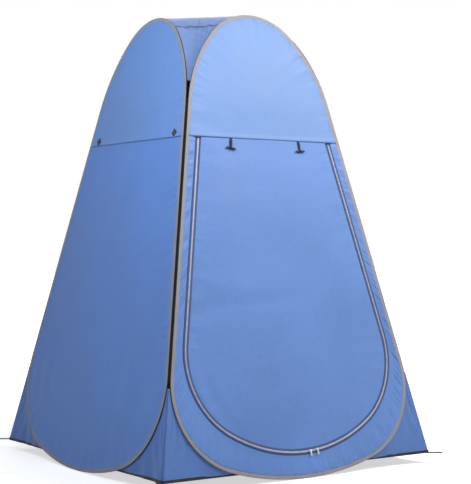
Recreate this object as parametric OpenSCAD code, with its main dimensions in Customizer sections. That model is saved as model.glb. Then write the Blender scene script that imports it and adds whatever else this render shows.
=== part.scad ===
// Pop-up privacy shelter: four egg-shaped sprung hoops, one to a side, lean in over a
// square base. Millimetres, +Z up. The origin is on the ground under the middle, and
// the door faces -Y. Each side is drawn flat in its own panel frame: x across, y up
// the slope from the hoop's foot, z outwards; on_side() leans it and turns it round.

/* [Overall] */
// Height from the ground to the top of the hoops
tent_h = 1900; // [1580:10:1960]
// Side of the square base, between the corner lines at the hoops' feet
base_w = 1344; // [1280:8:1616]
// Lean of each side from the vertical, in degrees
lean = 11.5; // [10:0.5:12]

/* [Hoops] */
// Width of the flat spring steel wire, across the panel
wire_w = 4.5; // [3:0.1:6]
// Thickness of the flat spring steel wire
wire_t = 2; // [1:0.1:3]
// Width of the sleeve that holds the wire
sleeve_w = 16; // [14:0.5:22]
// Thickness of the sleeve with its outer tape
sleeve_t = 9; // [8:0.5:12]
// Thickness of the outer tape
trim_t = 1.8; // [1:0.1:2]
// Radius of the hoop over the top
top_r = 268; // [220:2:280]
// Radius of the hoop at the shoulders
shoulder_r = 595; // [560:5:700]
// Radius of the hoop at the lower corners
corner_r = 327; // [260:3:390]
// Radius of the hoop along the ground
foot_r = 1190; // [1000:10:1500]
// Length of the crimped ferrule that joins the wire's ends
ferrule_l = 50; // [30:5:80]
// Gap between a hoop's edge and the fold line at each corner
corner_gap = 1.8; // [1.2:0.1:3]

/* [Cloth] */
// Thickness that stands for the cloth
cloth_t = 1.6; // [1:0.1:2.4]
// Height of the cross seam, up the slope
seam_y = 1388; // [1250:5:1420]
// Height of the hem, up the slope
hem_y = 36; // [24:2:60]
// Width of the hem tape
hem_w = 10; // [8:1:20]
// Thickness of the roof cloth
roof_t = 4; // [3:0.5:6]

/* [Door] */
// Distance from the hoop's line in to the zip's line at the sides
zip_inset = 50; // [40:2:80]
// Height of the zip's lowest point, up the slope
zip_foot_y = 97; // [80:1:140]
// Radius of the zip along the bottom
zip_foot_r = 656; // [600:4:760]
// Radius of the zip at its lower corners
zip_corner_r = 340; // [280:5:400]
// Width of the zip's tape on each side of its teeth
zip_tape_w = 13; // [10:0.5:18]
// Thickness of the zip's tape
zip_tape_t = 0.8; // [0.5:0.1:1.5]
// Width of one row of zip teeth
zip_teeth_w = 3.4; // [2:0.1:4]
// Angle between each slider and the next, along the zip's bottom
slider_step = 3.1; // [2.5:0.1:6]

/* [Small parts] */
// Distance from the middle to each roll-up toggle
toggle_x = 172; // [120:4:240]
// Length of a toggle's strap
toggle_strap_l = 44; // [35:1:70]
// Width of a toggle's strap
toggle_strap_w = 12; // [8:1:20]
// Length of a toggle's bar
toggle_bar_l = 38; // [28:2:60]
// Diameter of a toggle's bar
toggle_bar_d = 8; // [6:0.5:10]
// Reach of a peg tab beyond the corner
peg_tab_l = 34; // [28:1:50]
// Diameter of a peg tab's eyelet
peg_hole_d = 13; // [10:1:16]
// Side of a guy line tab
guy_tab_w = 26; // [22:1:34]
// Diameter of a guy line tab's eyelet
guy_hole_d = 8; // [5:1:10]
// Thickness of the webbing tabs
tab_t = 2.4; // [1.6:0.2:3]
// Length of the inside tie loops
tie_l = 70; // [50:5:110]

/* [Hidden] */
$fn = 48;

// Turn of each side about the vertical
FRONT = 0;
RIGHT = 90;
BACK = 180;
LEFT = 270;

// Running gap between pieces that lie side by side
fit = 0.3;
// Degrees of arc to one straight step of a cloth outline
arc_step = 3;

// Slope that a side's edge has in its own panel frame
edge_tilt = atan(sin(lean));
// The ground is cut this far into the sleeves' rounded feet
foot_flat = 0.8;
half_base = base_w / 2;
// Height of the panel frame's origin, which puts the sleeve's lowest edge on the ground
lift = sleeve_w / 2 * cos(lean) + sleeve_t / 2 * sin(lean) - foot_flat;
// Slope length from the hoop's foot line to its top line
hoop_h = (tent_h - lift - sleeve_t / 2 * sin(lean)) / cos(lean) - sleeve_w / 2;

// Two sides meet at this angle, square to their corner line
inner_angle = 180 - acos(sin(lean) * sin(lean));
// Distance from the corner line to the fold line, along a panel
fold_in = sleeve_t / 2 / tan(inner_angle / 2);
// Distance of the hoop's line from the corner line
hoop_in = fold_in + corner_gap + sleeve_w / 2;
// Signed distance of each edge line from the panel frame's origin
corner_k = half_base * cos(edge_tilt);
hoop_k = corner_k - hoop_in;
zip_k = hoop_k - zip_inset;
cloth_k = corner_k - fold_in - fit;

// Centre of the arc of radius r that runs into the edge line at distance k and
// into the arc of radius r2 centred at height y2 on the middle line
function tangent_centre(k, r, r2, y2) =
    let (
        p = (k - r) * [cos(edge_tilt), sin(edge_tilt)],
        q = p - [0, y2],
        b = q[1] * cos(edge_tilt) - q[0] * sin(edge_tilt),
        c = q * q - (r2 - r) * (r2 - r)
    ) p + (-b - sqrt(b * b - c)) * [-sin(edge_tilt), cos(edge_tilt)];

top_y = hoop_h - top_r;
shoulder_c = tangent_centre(hoop_k, shoulder_r, top_r, top_y);
corner_c = tangent_centre(hoop_k, corner_r, foot_r, foot_r);
top_a = atan2(top_y - shoulder_c[1], -shoulder_c[0]);
foot_a = atan2(corner_c[1] - foot_r, corner_c[0]);
edge_dir = [cos(edge_tilt), sin(edge_tilt)];
straight_low = corner_c + corner_r * edge_dir;
straight_high = shoulder_c + shoulder_r * edge_dir;

zip_arc_y = zip_foot_y + zip_foot_r;
zip_corner_c = tangent_centre(zip_k, zip_corner_r, zip_foot_r, zip_arc_y);
zip_foot_a = atan2(zip_corner_c[1] - zip_arc_y, zip_corner_c[0]);

// Heights above the panel's middle plane of the layers on its outer face
cloth_z = cloth_t / 2;
tape_z = cloth_z + zip_tape_t;
teeth_z = tape_z + 1.2;
slider_z = teeth_z + fit;
// Gap between the door's top edge and its fold line at the seam
door_top_gap = 1.5;

// Points along an arc, from angle a0 to angle a1
function arc(c, r, a0, a1) =
    let (n = ceil(abs(a1 - a0) / arc_step))
    [for (i = [0 : n]) c + r * [cos(a0 + (a1 - a0) * i / n), sin(a0 + (a1 - a0) * i / n)]];
// The right half of the hoop, from the foot to the top, moved outwards by off
function hoop_half(off) = concat(
    arc([0, foot_r], foot_r + off, -90, foot_a),
    arc(corner_c, corner_r + off, foot_a, edge_tilt),
    arc(shoulder_c, shoulder_r + off, edge_tilt, top_a),
    arc([0, top_y], top_r + off, top_a, 90));
// The right half of the zip's line, moved outwards by off and run up past the seam
function zip_half(off) = concat(
    arc([0, zip_arc_y], zip_foot_r + off, -90, zip_foot_a),
    arc(zip_corner_c, zip_corner_r + off, zip_foot_a, edge_tilt),
    [[edge_x(zip_k + off, tent_h), tent_h]]);
// Where the edge line at distance k is, at height y
function edge_x(k, y) = (k - y * sin(edge_tilt)) / cos(edge_tilt);
function mirrored(half) = concat(half, [for (i = [len(half) - 1 : -1 : 0]) [-half[i][0], half[i][1]]]);
// A panel point in the front side's place
function placed(x, y, z) = [
    x,
    y * sin(lean) - z * cos(lean) - half_base,
    lift + y * cos(lean) + z * sin(lean)];

module on_side(turn) {
    rotate([0, 0, turn]) translate([0, -half_base, lift]) rotate([90 - lean, 0, 0]) children();
}

// A flat layer of the panel between two heights above its middle plane
module layer(z0, z1) {
    translate([0, 0, z0]) linear_extrude(z1 - z0) children();
}

module band(y0, y1) {
    translate([-base_w, y0]) square([2 * base_w, y1 - y0]);
}

// A flat ring that follows the hoop, between two offsets from the wire's line
module hoop_ring(off_in, off_out, z0, z1) {
    layer(z0, z1) difference() {
        polygon(mirrored(hoop_half(off_out)));
        polygon(mirrored(hoop_half(off_in)));
    }
}

// The wire is one flat ring, cut at the foot, where its ends meet in the ferrule
module hoop_wire(turn) {
    end_gap = 1;
    color("silver") on_side(turn) difference() {
        hoop_ring(-wire_w / 2, wire_w / 2, -wire_t / 2, wire_t / 2);
        cube([end_gap, 2 * sleeve_w, 2 * sleeve_t], center = true);
    }
}

// A flat crimped tube over the wire's two ends
module ferrule(turn) {
    wall = 0.6;
    bore_fit = 0.1;
    color("dimgray") on_side(turn) intersection() {
        difference() {
            hoop_ring(-wire_w / 2 - wall, wire_w / 2 + wall, -wire_t / 2 - wall, wire_t / 2 + wall);
            hoop_ring(-wire_w / 2 - bore_fit, wire_w / 2 + bore_fit,
                -wire_t / 2 - bore_fit, wire_t / 2 + bore_fit);
        }
        cube([ferrule_l, 2 * sleeve_w, 2 * sleeve_t], center = true);
    }
}

// The room inside the sleeve for the wire and its ferrule
channel_w = wire_w + 2;
channel_t = wire_t + 2;
trim_z = sleeve_t / 2 - trim_t;

module hoop_sleeve(turn) {
    color([0.05, 0.05, 0.07]) on_ground() on_side(turn) difference() {
        hoop_ring(-sleeve_w / 2, sleeve_w / 2, -sleeve_t / 2, trim_z);
        hoop_ring(-channel_w / 2, channel_w / 2, -channel_t / 2, channel_t / 2);
    }
}

module hoop_trim(turn) {
    color([0.55, 0.55, 0.6]) on_ground() on_side(turn)
        hoop_ring(-sleeve_w / 2, sleeve_w / 2, trim_z, sleeve_t / 2);
}

// Takes off what would be below the ground
module on_ground() {
    difference() {
        children();
        translate([-base_w, -base_w, -100]) cube([2 * base_w, 2 * base_w, 100]);
    }
}

module panel_cloth(turn, y0, y1) {
    on_side(turn) layer(-cloth_z, cloth_z) intersection() {
        polygon(mirrored(hoop_half(-sleeve_w / 2 - fit)));
        band(y0, y1);
    }
}

module upper_panel(turn) {
    color([0.36, 0.55, 0.83]) panel_cloth(turn, seam_y, tent_h * 2);
}

module lower_panel(turn) {
    color([0.33, 0.5, 0.78]) panel_cloth(turn, 0, seam_y - fit);
}

module door_surround() {
    color([0.34, 0.51, 0.79]) difference() {
        panel_cloth(FRONT, 0, seam_y - fit);
        on_side(FRONT) layer(-sleeve_t, sleeve_t) polygon(mirrored(zip_half(fit)));
    }
}

// The corner of the base between the hoop and the corner line
module skirt_outline(y0, y1) {
    difference() {
        polygon([
            [0, y0], [edge_x(cloth_k, y0), y0], [edge_x(cloth_k, y1), y1], [0, y1]]);
        polygon(mirrored(hoop_half(sleeve_w / 2 + fit)));
    }
}

// The skirt's cloth ends where the hoop nears the corner line
skirt_top_y = straight_low[1] - 45;

module skirts(turn) {
    color([0.35, 0.48, 0.75]) for (side = [0, 1]) on_side(turn) mirror([side, 0, 0])
        layer(-cloth_z, cloth_z) skirt_outline(hem_y, skirt_top_y);
}

// Thickness of the hem tape
hem_t = 1;

module hems(turn) {
    color([0.06, 0.06, 0.08]) for (side = [0, 1]) on_side(turn) mirror([side, 0, 0])
        layer(cloth_z, cloth_z + hem_t) skirt_outline(hem_y, hem_y + hem_w);
}

// The seam that joins two hoops along a corner is the line they fold about
module corner_seam(turn) {
    fold_k = corner_k - fold_in;
    low = [edge_x(fold_k, straight_low[1]), straight_low[1]];
    high = [edge_x(fold_k, straight_high[1]), straight_high[1]];
    on_side(turn) translate([high[0], high[1], -sleeve_t / 2]) rotate([90, 0, edge_tilt])
        linear_extrude(norm(high - low)) circle(r = corner_gap - fit);
}

module left_corner_seam() {
    color([0.05, 0.05, 0.07]) corner_seam(LEFT);
}

module back_corner_seams() {
    color([0.05, 0.05, 0.07]) {
        corner_seam(BACK);
        corner_seam(RIGHT);
    }
}

// Roof cloth. Each side's hoop carries a quarter, from its outer edge level across to
// the line midway to the next hoop, and over the flat middle to the centre.
roof_min_w = 12;
roof_gap = 0.4;
roof_edge = [for (p = hoop_half(sleeve_w / 2 + 0.4)) if (p[1] > straight_high[1])
    placed(p[0], p[1], -sleeve_t / 2 - 0.4)];
roof_rim = [for (p = roof_edge) if (-p[1] - p[0] > roof_min_w) p];
function roof_mid(p) =
    let (m = (p[0] - p[1]) / 2) [m - roof_gap / 2, -m - roof_gap / 2, p[2]];
function turned_in(v, side) = [side * v[0], v[1], v[2]];

module roof_quarter(turn) {
    n = len(roof_rim);
    last = roof_rim[n - 1];
    rim_drop = roof_t * [0, 0.7, -0.7];
    mid_drop = roof_t * [-0.5, 0.5, -0.7];
    rim = concat(
        [for (i = [0 : n - 1]) turned_in(roof_rim[i], -1)],
        [for (i = [n - 2 : -1 : 0]) roof_rim[i]]);
    mid = concat(
        [for (i = [0 : n - 2]) turned_in(roof_mid(roof_rim[i]), -1)],
        [[0, -roof_gap, last[2]]],
        [for (i = [n - 2 : -1 : 0]) roof_mid(roof_rim[i])]);
    rim_under = [for (p = rim) p + rim_drop];
    mid_under = concat(
        [for (i = [0 : n - 2]) mid[i] + turned_in(mid_drop, -1)],
        [mid[n - 1] + [0, 0, -roof_t]],
        [for (i = [n : 2 * n - 2]) mid[i] + mid_drop]);
    m = len(rim);
    rows = [rim, mid, mid_under, rim_under];
    points = [for (row = rows) each row];
    faces = concat(
        [for (r = [0 : 3]) for (i = [0 : m - 2])
            let (a = r * m + i, b = (r + 1) % 4 * m + i) each [[a, a + 1, b], [a + 1, b + 1, b]]],
        [[0, m, 2 * m], [0, 2 * m, 3 * m]],
        [[m - 1, 3 * m - 1, 2 * m - 1], [m - 1, 4 * m - 1, 3 * m - 1]]);
    color([0.38, 0.54, 0.8]) rotate([0, 0, turn]) polyhedron(points, faces);
}

// A webbing tab from a side's hem out past the corner, with an eyelet for a peg
module peg_tab(turn) {
    sewn_l = 44;
    neck = 2;
    rim_w = 5;
    corner = half_base - (hem_y + tab_t) * sin(lean);
    face = corner + (cloth_z + hem_t + fit) / cos(lean) + tab_t * sin(lean);
    eye = [corner + peg_tab_l, -corner - peg_tab_l];
    color([0.06, 0.06, 0.08]) rotate([0, 0, turn])
        translate([0, 0, lift + hem_y * cos(lean)]) linear_extrude(tab_t) difference() {
            polygon(concat(
                [[corner - sewn_l, -face], [corner + neck, -face]],
                arc(eye, peg_hole_d / 2 + rim_w, 45, -135)));
            translate(eye) circle(d = peg_hole_d);
        }
}

// A square webbing tab with an eyelet, sewn on near the corner just above the seam
module guy_tab(turn, side) {
    sleeve_gap = 38;
    seam_gap = 14;
    tilt = -35;
    x = edge_x(hoop_k, seam_y) - sleeve_w / 2 - guy_tab_w * 0.75 - sleeve_gap;
    color([0.06, 0.06, 0.08]) on_side(turn) mirror([side, 0, 0])
        translate([x, seam_y + seam_gap, cloth_z]) rotate([0, 0, tilt])
            linear_extrude(tab_t) difference() {
                square(guy_tab_w, center = true);
                circle(d = guy_hole_d);
            }
}

module door_flap() {
    color([0.34, 0.52, 0.8]) on_side(FRONT) layer(-cloth_z, cloth_z) intersection() {
        polygon(mirrored(zip_half(-fit)));
        band(0, seam_y - door_top_gap);
    }
}

// One side of the zip, with its tape and its row of teeth on the cloth's outer face
module zip_side(near, tape_far, teeth_far) {
    top = seam_y - door_top_gap - 1;
    for (part = [[tape_far, cloth_z, tape_z], [teeth_far, tape_z, teeth_z]])
        on_side(FRONT) layer(part[1], part[2]) intersection() {
            difference() {
                polygon(mirrored(zip_half(max(near, part[0]))));
                polygon(mirrored(zip_half(min(near, part[0]))));
            }
            band(0, top);
        }
}

module zip_surround_side() {
    color([0.2, 0.32, 0.6]) zip_side(fit, zip_tape_w, zip_teeth_w);
}

module zip_door_side() {
    color([0.2, 0.32, 0.6]) zip_side(-fit, -zip_tape_w, -zip_teeth_w);
}

slider_l = 15;
slider_w = 10;
slider_t = 2.2;
slider_post = 1.6;
pull_pin_d = 1.6;
pull_ring_r = 2.2;
pull_w = 6.5;
pull_l = 20;
pull_pin_z = slider_z + slider_t + pull_ring_r + fit;

// Puts a piece at the zip's lowest arc: x along the zip, -y away from the door
module on_zip(angle) {
    on_side(FRONT) translate([0, zip_arc_y, 0]) rotate([0, 0, angle])
        translate([0, -zip_foot_r, 0]) children();
}

module zip_slider(angle) {
    post_x = pull_ring_r + fit + 0.2;
    color("silver") on_zip(angle) {
        layer(slider_z, slider_z + slider_t) {
            square([slider_l - slider_w, slider_w], center = true);
            for (s = [-1, 1]) translate([s * (slider_l - slider_w) / 2, 0]) circle(d = slider_w);
        }
        for (s = [-1, 1]) translate([s * (post_x + slider_post / 2), 0, 0])
            layer(slider_z + slider_t, pull_pin_z + pull_pin_d)
                square([slider_post, 3.4], center = true);
        translate([-post_x - slider_post / 2, 0, pull_pin_z]) rotate([0, 90, 0])
            cylinder(d = pull_pin_d, h = 2 * post_x + slider_post);
    }
}

module zip_pull(angle) {
    ring_w = 2 * pull_ring_r;
    color("gainsboro") on_zip(angle) difference() {
        union() {
            translate([-ring_w / 2, 0, pull_pin_z]) rotate([0, 90, 0])
                cylinder(r = pull_ring_r, h = ring_w);
            translate([-ring_w / 2, -8, pull_pin_z - 0.7]) cube([ring_w, 8, 1.4]);
            translate([-pull_w / 2, -pull_l, pull_pin_z - 0.7]) cube([pull_w, pull_l - 7, 1.4]);
        }
        translate([-ring_w, 0, pull_pin_z]) rotate([0, 90, 0])
            cylinder(d = pull_pin_d + 0.6, h = 2 * ring_w);
        translate([0, -pull_l + 4.5, 0]) cylinder(d = 3, h = 40);
    }
}

// Roll-up toggles: a strap from the seam with a bar through the loop at its end
toggle_strap_t = 1.2;
toggle_strap_z = cloth_z + 0.7;
toggle_loop_r = toggle_bar_d / 2 + 0.15;
toggle_loop_z = cloth_z + fit + toggle_loop_r + toggle_strap_t;
toggle_bar_y = seam_y - door_top_gap - toggle_strap_l - 2;

module on_toggle(side) {
    on_side(FRONT) translate([side * toggle_x, 0, 0]) children();
}

module toggle_strap(side) {
    color([0.1, 0.13, 0.3]) on_toggle(side) {
        translate([-toggle_strap_w / 2, toggle_bar_y + toggle_loop_r, toggle_strap_z])
            cube([toggle_strap_w, toggle_strap_l - toggle_loop_r, toggle_strap_t]);
        translate([-toggle_strap_w / 2, toggle_bar_y, toggle_loop_z]) rotate([0, 90, 0])
            difference() {
                union() {
                    cylinder(r = toggle_loop_r + toggle_strap_t, h = toggle_strap_w);
                    translate([-(toggle_strap_z - toggle_loop_z + toggle_strap_t), 0, 0])
                        cube([toggle_strap_t, toggle_loop_r + 1, toggle_strap_w]);
                }
                translate([0, 0, -1]) cylinder(r = toggle_loop_r, h = toggle_strap_w + 2);
            }
    }
}

module toggle_bar(side) {
    color([0.06, 0.07, 0.12]) on_toggle(side)
        translate([-toggle_bar_l / 2, toggle_bar_y, toggle_loop_z]) rotate([0, 90, 0]) {
            cylinder(d = toggle_bar_d, h = toggle_bar_l);
            for (end = [0, toggle_bar_l]) translate([0, 0, end]) sphere(d = toggle_bar_d);
        }
}

// Loops of ribbon on the inner face, which take the toggles when the door is rolled up
module inside_tie_loops() {
    tie_w = 20;
    ribbon_w = 5;
    color([0.1, 0.13, 0.3]) for (side = [-1, 1]) on_toggle(side)
        layer(-cloth_z - 1, -cloth_z) translate([-tie_w / 2, seam_y + 12 - tie_l]) difference() {
            square([tie_w, tie_l]);
            translate([ribbon_w, ribbon_w]) square([tie_w - 2 * ribbon_w, tie_l - 3 * ribbon_w]);
        }
}

hoop_wire(FRONT);  // front_hoop_wire
hoop_wire(LEFT);  // left_hoop_wire
hoop_wire(BACK);  // back_hoop_wire
hoop_wire(RIGHT);  // right_hoop_wire
ferrule(FRONT);  // front_ferrule
ferrule(LEFT);  // left_ferrule
ferrule(BACK);  // back_ferrule
ferrule(RIGHT);  // right_ferrule
hoop_sleeve(FRONT);  // front_hoop_sleeve
hoop_sleeve(LEFT);  // left_hoop_sleeve
hoop_sleeve(BACK);  // back_hoop_sleeve
hoop_sleeve(RIGHT);  // right_hoop_sleeve
hoop_trim(FRONT);  // front_hoop_trim
hoop_trim(LEFT);  // left_hoop_trim
hoop_trim(BACK);  // back_hoop_trim
hoop_trim(RIGHT);  // right_hoop_trim
upper_panel(FRONT);  // front_upper_panel
upper_panel(LEFT);  // left_upper_panel
upper_panel(BACK);  // back_upper_panel
upper_panel(RIGHT);  // right_upper_panel
door_surround();
lower_panel(LEFT);  // left_lower_panel
lower_panel(BACK);  // back_lower_panel
lower_panel(RIGHT);  // right_lower_panel
skirts(FRONT);  // front_skirts
skirts(LEFT);  // left_skirts
skirts(BACK);  // back_skirts
skirts(RIGHT);  // right_skirts
hems(FRONT);  // front_hems
hems(LEFT);  // left_hems
hems(BACK);  // back_hems
hems(RIGHT);  // right_hems
roof_quarter(FRONT);  // front_roof
roof_quarter(LEFT);  // left_roof
roof_quarter(BACK);  // back_roof
roof_quarter(RIGHT);  // right_roof
left_corner_seam();
back_corner_seams();
peg_tab(LEFT);  // peg_tab_front_left
peg_tab(BACK);  // peg_tab_back_left
peg_tab(RIGHT);  // peg_tab_back_right
peg_tab(FRONT);  // peg_tab_front_right
guy_tab(LEFT, 0);  // guy_tab_front_left
guy_tab(LEFT, 1);  // guy_tab_back_left
guy_tab(RIGHT, 0);  // guy_tab_back_right
guy_tab(RIGHT, 1);  // guy_tab_front_right
door_flap();
zip_surround_side();
zip_door_side();
zip_slider(slider_step);  // zip_slider_left
zip_slider(2 * slider_step);  // zip_slider_right
zip_pull(slider_step);  // zip_pull_left
zip_pull(2 * slider_step);  // zip_pull_right
toggle_strap(-1);  // toggle_strap_left
toggle_strap(1);  // toggle_strap_right
toggle_bar(-1);  // toggle_bar_left
toggle_bar(1);  // toggle_bar_right
inside_tie_loops();
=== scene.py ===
"""Looks of a pop-up privacy tent: cloth, bound hoops, a zipped door, webbing and fittings.

Every length is in metres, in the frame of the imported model: +Z up, the origin on the ground
under the middle, and the door facing -Y. A side's own panel frame has x across it, y up its
slope from the foot of its hoop, and z straight out of it.
"""

import logging
import math
from dataclasses import dataclass, field
from enum import Enum
from functools import cached_property
from typing import Callable

import bmesh
import bpy
import numpy as np
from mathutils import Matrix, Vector

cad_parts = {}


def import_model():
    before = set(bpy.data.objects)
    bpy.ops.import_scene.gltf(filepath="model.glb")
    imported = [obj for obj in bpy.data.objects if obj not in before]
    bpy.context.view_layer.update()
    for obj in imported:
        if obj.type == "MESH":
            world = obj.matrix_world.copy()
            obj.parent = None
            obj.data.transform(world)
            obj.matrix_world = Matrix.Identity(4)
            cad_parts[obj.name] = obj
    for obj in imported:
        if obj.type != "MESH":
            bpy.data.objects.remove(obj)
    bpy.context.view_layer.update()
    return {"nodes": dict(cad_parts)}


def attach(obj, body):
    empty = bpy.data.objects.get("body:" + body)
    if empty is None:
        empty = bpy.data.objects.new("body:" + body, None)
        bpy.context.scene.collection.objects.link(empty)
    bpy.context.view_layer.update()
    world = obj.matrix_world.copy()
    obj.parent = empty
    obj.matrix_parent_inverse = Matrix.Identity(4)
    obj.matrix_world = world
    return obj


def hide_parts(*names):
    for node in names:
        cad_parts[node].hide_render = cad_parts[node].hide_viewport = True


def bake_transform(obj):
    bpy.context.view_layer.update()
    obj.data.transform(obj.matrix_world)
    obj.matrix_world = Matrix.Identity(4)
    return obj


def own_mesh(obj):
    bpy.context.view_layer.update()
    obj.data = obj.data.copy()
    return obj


log = logging.getLogger("tent")
Array = np.ndarray


class Side(Enum):
    """The four sides of the tent, each with the turn in degrees that brings it round."""

    FRONT = 0
    RIGHT = 90
    BACK = 180
    LEFT = 270

    @property
    def key(self) -> str:
        """The body that the side's pieces ride on."""
        return self.name.lower()

    @property
    def turn(self) -> float:
        """The side's turn about the vertical, in radians."""
        return math.radians(self.value)


class Reach(Enum):
    """Which part of a side's cloth a piece is cut to."""

    ABOVE_SEAM = "upper"
    BELOW_SEAM = "lower"


# ---------------------------------------------------------------------------------------
# Measurements and outlines
# ---------------------------------------------------------------------------------------


def ease(low: float, high: float, value: Array) -> Array:
    """A smooth step: nought below low, one above high, and 3t^2 - 2t^3 between them.

    Args:
        low: where the step begins.
        high: where the step ends.
        value: the numbers to step.
    Returns:
        The stepped numbers, from 0 to 1.
    """
    t = np.clip((value - low) / (high - low), 0.0, 1.0)
    return t * t * (3.0 - 2.0 * t)


def ripple(position: Array, period: float, seed: int, detail: int = 3) -> Array:
    """Uneven waves along a line: a sum of sines whose periods and phases are drawn by seed.

    Args:
        position: distance along the line.
        period: the mean distance from crest to crest.
        seed: picks the phases and the spread of the periods.
        detail: how many sines are added.
    Returns:
        Heights from about -1 to 1.
    """
    rng = np.random.default_rng(seed)
    total = np.zeros_like(position, dtype=float)
    for _ in range(detail):
        stretch = rng.uniform(0.72, 1.45)
        phase = rng.uniform(0.0, 2.0 * math.pi)
        total += np.sin(2.0 * math.pi * position / (period * stretch) + phase)
    return total / math.sqrt(detail * 2.0)


@dataclass(frozen=True)
class TentPlan:
    """The measurements that every sub-assembly shares, and the outlines they give."""

    height: float = 1.9
    base: float = 1.344
    lean: float = math.radians(11.5)
    sleeve_w: float = 0.016
    sleeve_t: float = 0.009
    trim_t: float = 0.0018
    top_r: float = 0.268
    shoulder_r: float = 0.595
    corner_r: float = 0.327
    foot_r: float = 1.190
    corner_gap: float = 0.0018
    ground_flat: float = 0.0008
    seam_y: float = 1.388
    hem_y: float = 0.036
    zip_inset: float = 0.050
    zip_foot_y: float = 0.097
    zip_foot_r: float = 0.656
    zip_corner_r: float = 0.340

    @cached_property
    def lift(self) -> float:
        """Height of the panel frame's origin above the ground."""
        return (
            self.sleeve_w / 2 * math.cos(self.lean)
            + self.sleeve_t / 2 * math.sin(self.lean)
            - self.ground_flat
        )

    @cached_property
    def hoop_h(self) -> float:
        """Slope length from the hoop's foot to its top."""
        rise = self.height - self.lift - self.sleeve_t / 2 * math.sin(self.lean)
        return rise / math.cos(self.lean) - self.sleeve_w / 2

    @cached_property
    def tilt(self) -> float:
        """Slope of a side's edge in its own panel frame."""
        return math.atan(math.sin(self.lean))

    @cached_property
    def corner_k(self) -> float:
        """Distance of the corner line from the panel frame's origin."""
        return self.base / 2 * math.cos(self.tilt)

    @cached_property
    def fold_k(self) -> float:
        """Distance of the line that two sides fold about."""
        inner = math.pi - math.acos(math.sin(self.lean) ** 2)
        return self.corner_k - self.sleeve_t / 2 / math.tan(inner / 2)

    @cached_property
    def hoop_k(self) -> float:
        """Distance of the hoop's straight stretch."""
        return self.fold_k - self.corner_gap - self.sleeve_w / 2

    @cached_property
    def zip_k(self) -> float:
        """Distance of the zip's straight stretch."""
        return self.hoop_k - self.zip_inset

    def edge_x(self, k: float, y: Array | float) -> Array | float:
        """Where the edge line at distance k is at height y: (k - y sin) / cos of its tilt."""
        return (k - y * math.sin(self.tilt)) / math.cos(self.tilt)

    def tangent_centre(self, k: float, r: float, r2: float, y2: float) -> Array:
        """Centre of the arc of radius r between the edge line and a wider or closer arc.

        The centre slides along the line parallel to the edge at distance k - r, to where it
        is |r2 - r| from the centre of the other arc, which is at height y2 on the middle.

        Args:
            k: distance of the edge line.
            r: radius of the joining arc.
            r2: radius of the arc on the middle line.
            y2: height of that arc's centre.
        Returns:
            The centre as x and y.
        """
        c, s = math.cos(self.tilt), math.sin(self.tilt)
        p = np.array([(k - r) * c, (k - r) * s])
        q = p - np.array([0.0, y2])
        b = q[1] * c - q[0] * s
        root = math.sqrt(b * b - (q @ q - (r2 - r) ** 2))
        return p - (b + root) * np.array([-s, c])

    @staticmethod
    def arc(centre: Array, r: float, start: float, end: float) -> Array:
        """Points on an arc, a quarter of a degree apart: centre + r (cos a, sin a)."""
        count = max(3, int(abs(end - start) / math.radians(0.25)))
        a = np.linspace(start, end, count)
        return np.asarray(centre) + r * np.stack([np.cos(a), np.sin(a)], axis=1)

    def hoop_half(self, off: float) -> Array:
        """Right half of the hoop's outline, foot to top, moved outwards by off."""
        top_y = self.hoop_h - self.top_r
        shoulder = self.tangent_centre(self.hoop_k, self.shoulder_r, self.top_r, top_y)
        corner = self.tangent_centre(self.hoop_k, self.corner_r, self.foot_r, self.foot_r)
        top_a = math.atan2(top_y - shoulder[1], -shoulder[0])
        foot_a = math.atan2(corner[1] - self.foot_r, corner[0])
        return np.concatenate(
            [
                self.arc([0, self.foot_r], self.foot_r + off, -math.pi / 2, foot_a),
                self.arc(corner, self.corner_r + off, foot_a, self.tilt),
                self.arc(shoulder, self.shoulder_r + off, self.tilt, top_a),
                self.arc([0, top_y], self.top_r + off, top_a, math.pi / 2),
            ]
        )

    def zip_half(self, off: float) -> Array:
        """Right half of the zip's line, foot to cross seam, moved outwards by off."""
        y2 = self.zip_foot_y + self.zip_foot_r
        corner = self.tangent_centre(self.zip_k, self.zip_corner_r, self.zip_foot_r, y2)
        foot_a = math.atan2(corner[1] - y2, corner[0])
        end = [self.edge_x(self.zip_k + off, self.seam_y), self.seam_y]
        return np.concatenate(
            [
                self.arc([0, y2], self.zip_foot_r + off, -math.pi / 2, foot_a),
                self.arc(corner, self.zip_corner_r + off, foot_a, self.tilt),
                np.array([end]),
            ]
        )

    @cached_property
    def corner_low_y(self) -> float:
        """Height where the hoop's straight stretch begins."""
        corner = self.tangent_centre(self.hoop_k, self.corner_r, self.foot_r, self.foot_r)
        return float(corner[1] + self.corner_r * math.sin(self.tilt))

    @cached_property
    def corner_high_y(self) -> float:
        """Height where the hoop's straight stretch ends and its shoulder begins."""
        top_y = self.hoop_h - self.top_r
        shoulder = self.tangent_centre(self.hoop_k, self.shoulder_r, self.top_r, top_y)
        return float(shoulder[1] + self.shoulder_r * math.sin(self.tilt))

    def place(self, x: Array, y: Array, z: Array, side: Side) -> Array:
        """Panel points in the tent: lean the panel frame back, then turn it to its side.

        Args:
            x: distance across the panel.
            y: height up the slope.
            z: height out of the panel.
            side: the side the panel is on.
        Returns:
            World points, with one more axis than x.
        """
        x, y, z = np.broadcast_arrays(x, y, z)
        c, s = math.cos(self.lean), math.sin(self.lean)
        depth = y * s - z * c - self.base / 2
        rise = self.lift + y * c + z * s
        ct, st = math.cos(side.turn), math.sin(side.turn)
        return np.stack([ct * x - st * depth, st * x + ct * depth, rise], axis=-1)

    def normal(self, side: Side) -> Array:
        """The direction straight out of a side."""
        c, s = math.cos(self.lean), math.sin(self.lean)
        ct, st = math.cos(side.turn), math.sin(side.turn)
        return np.array([st * c, -ct * c, s])


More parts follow.
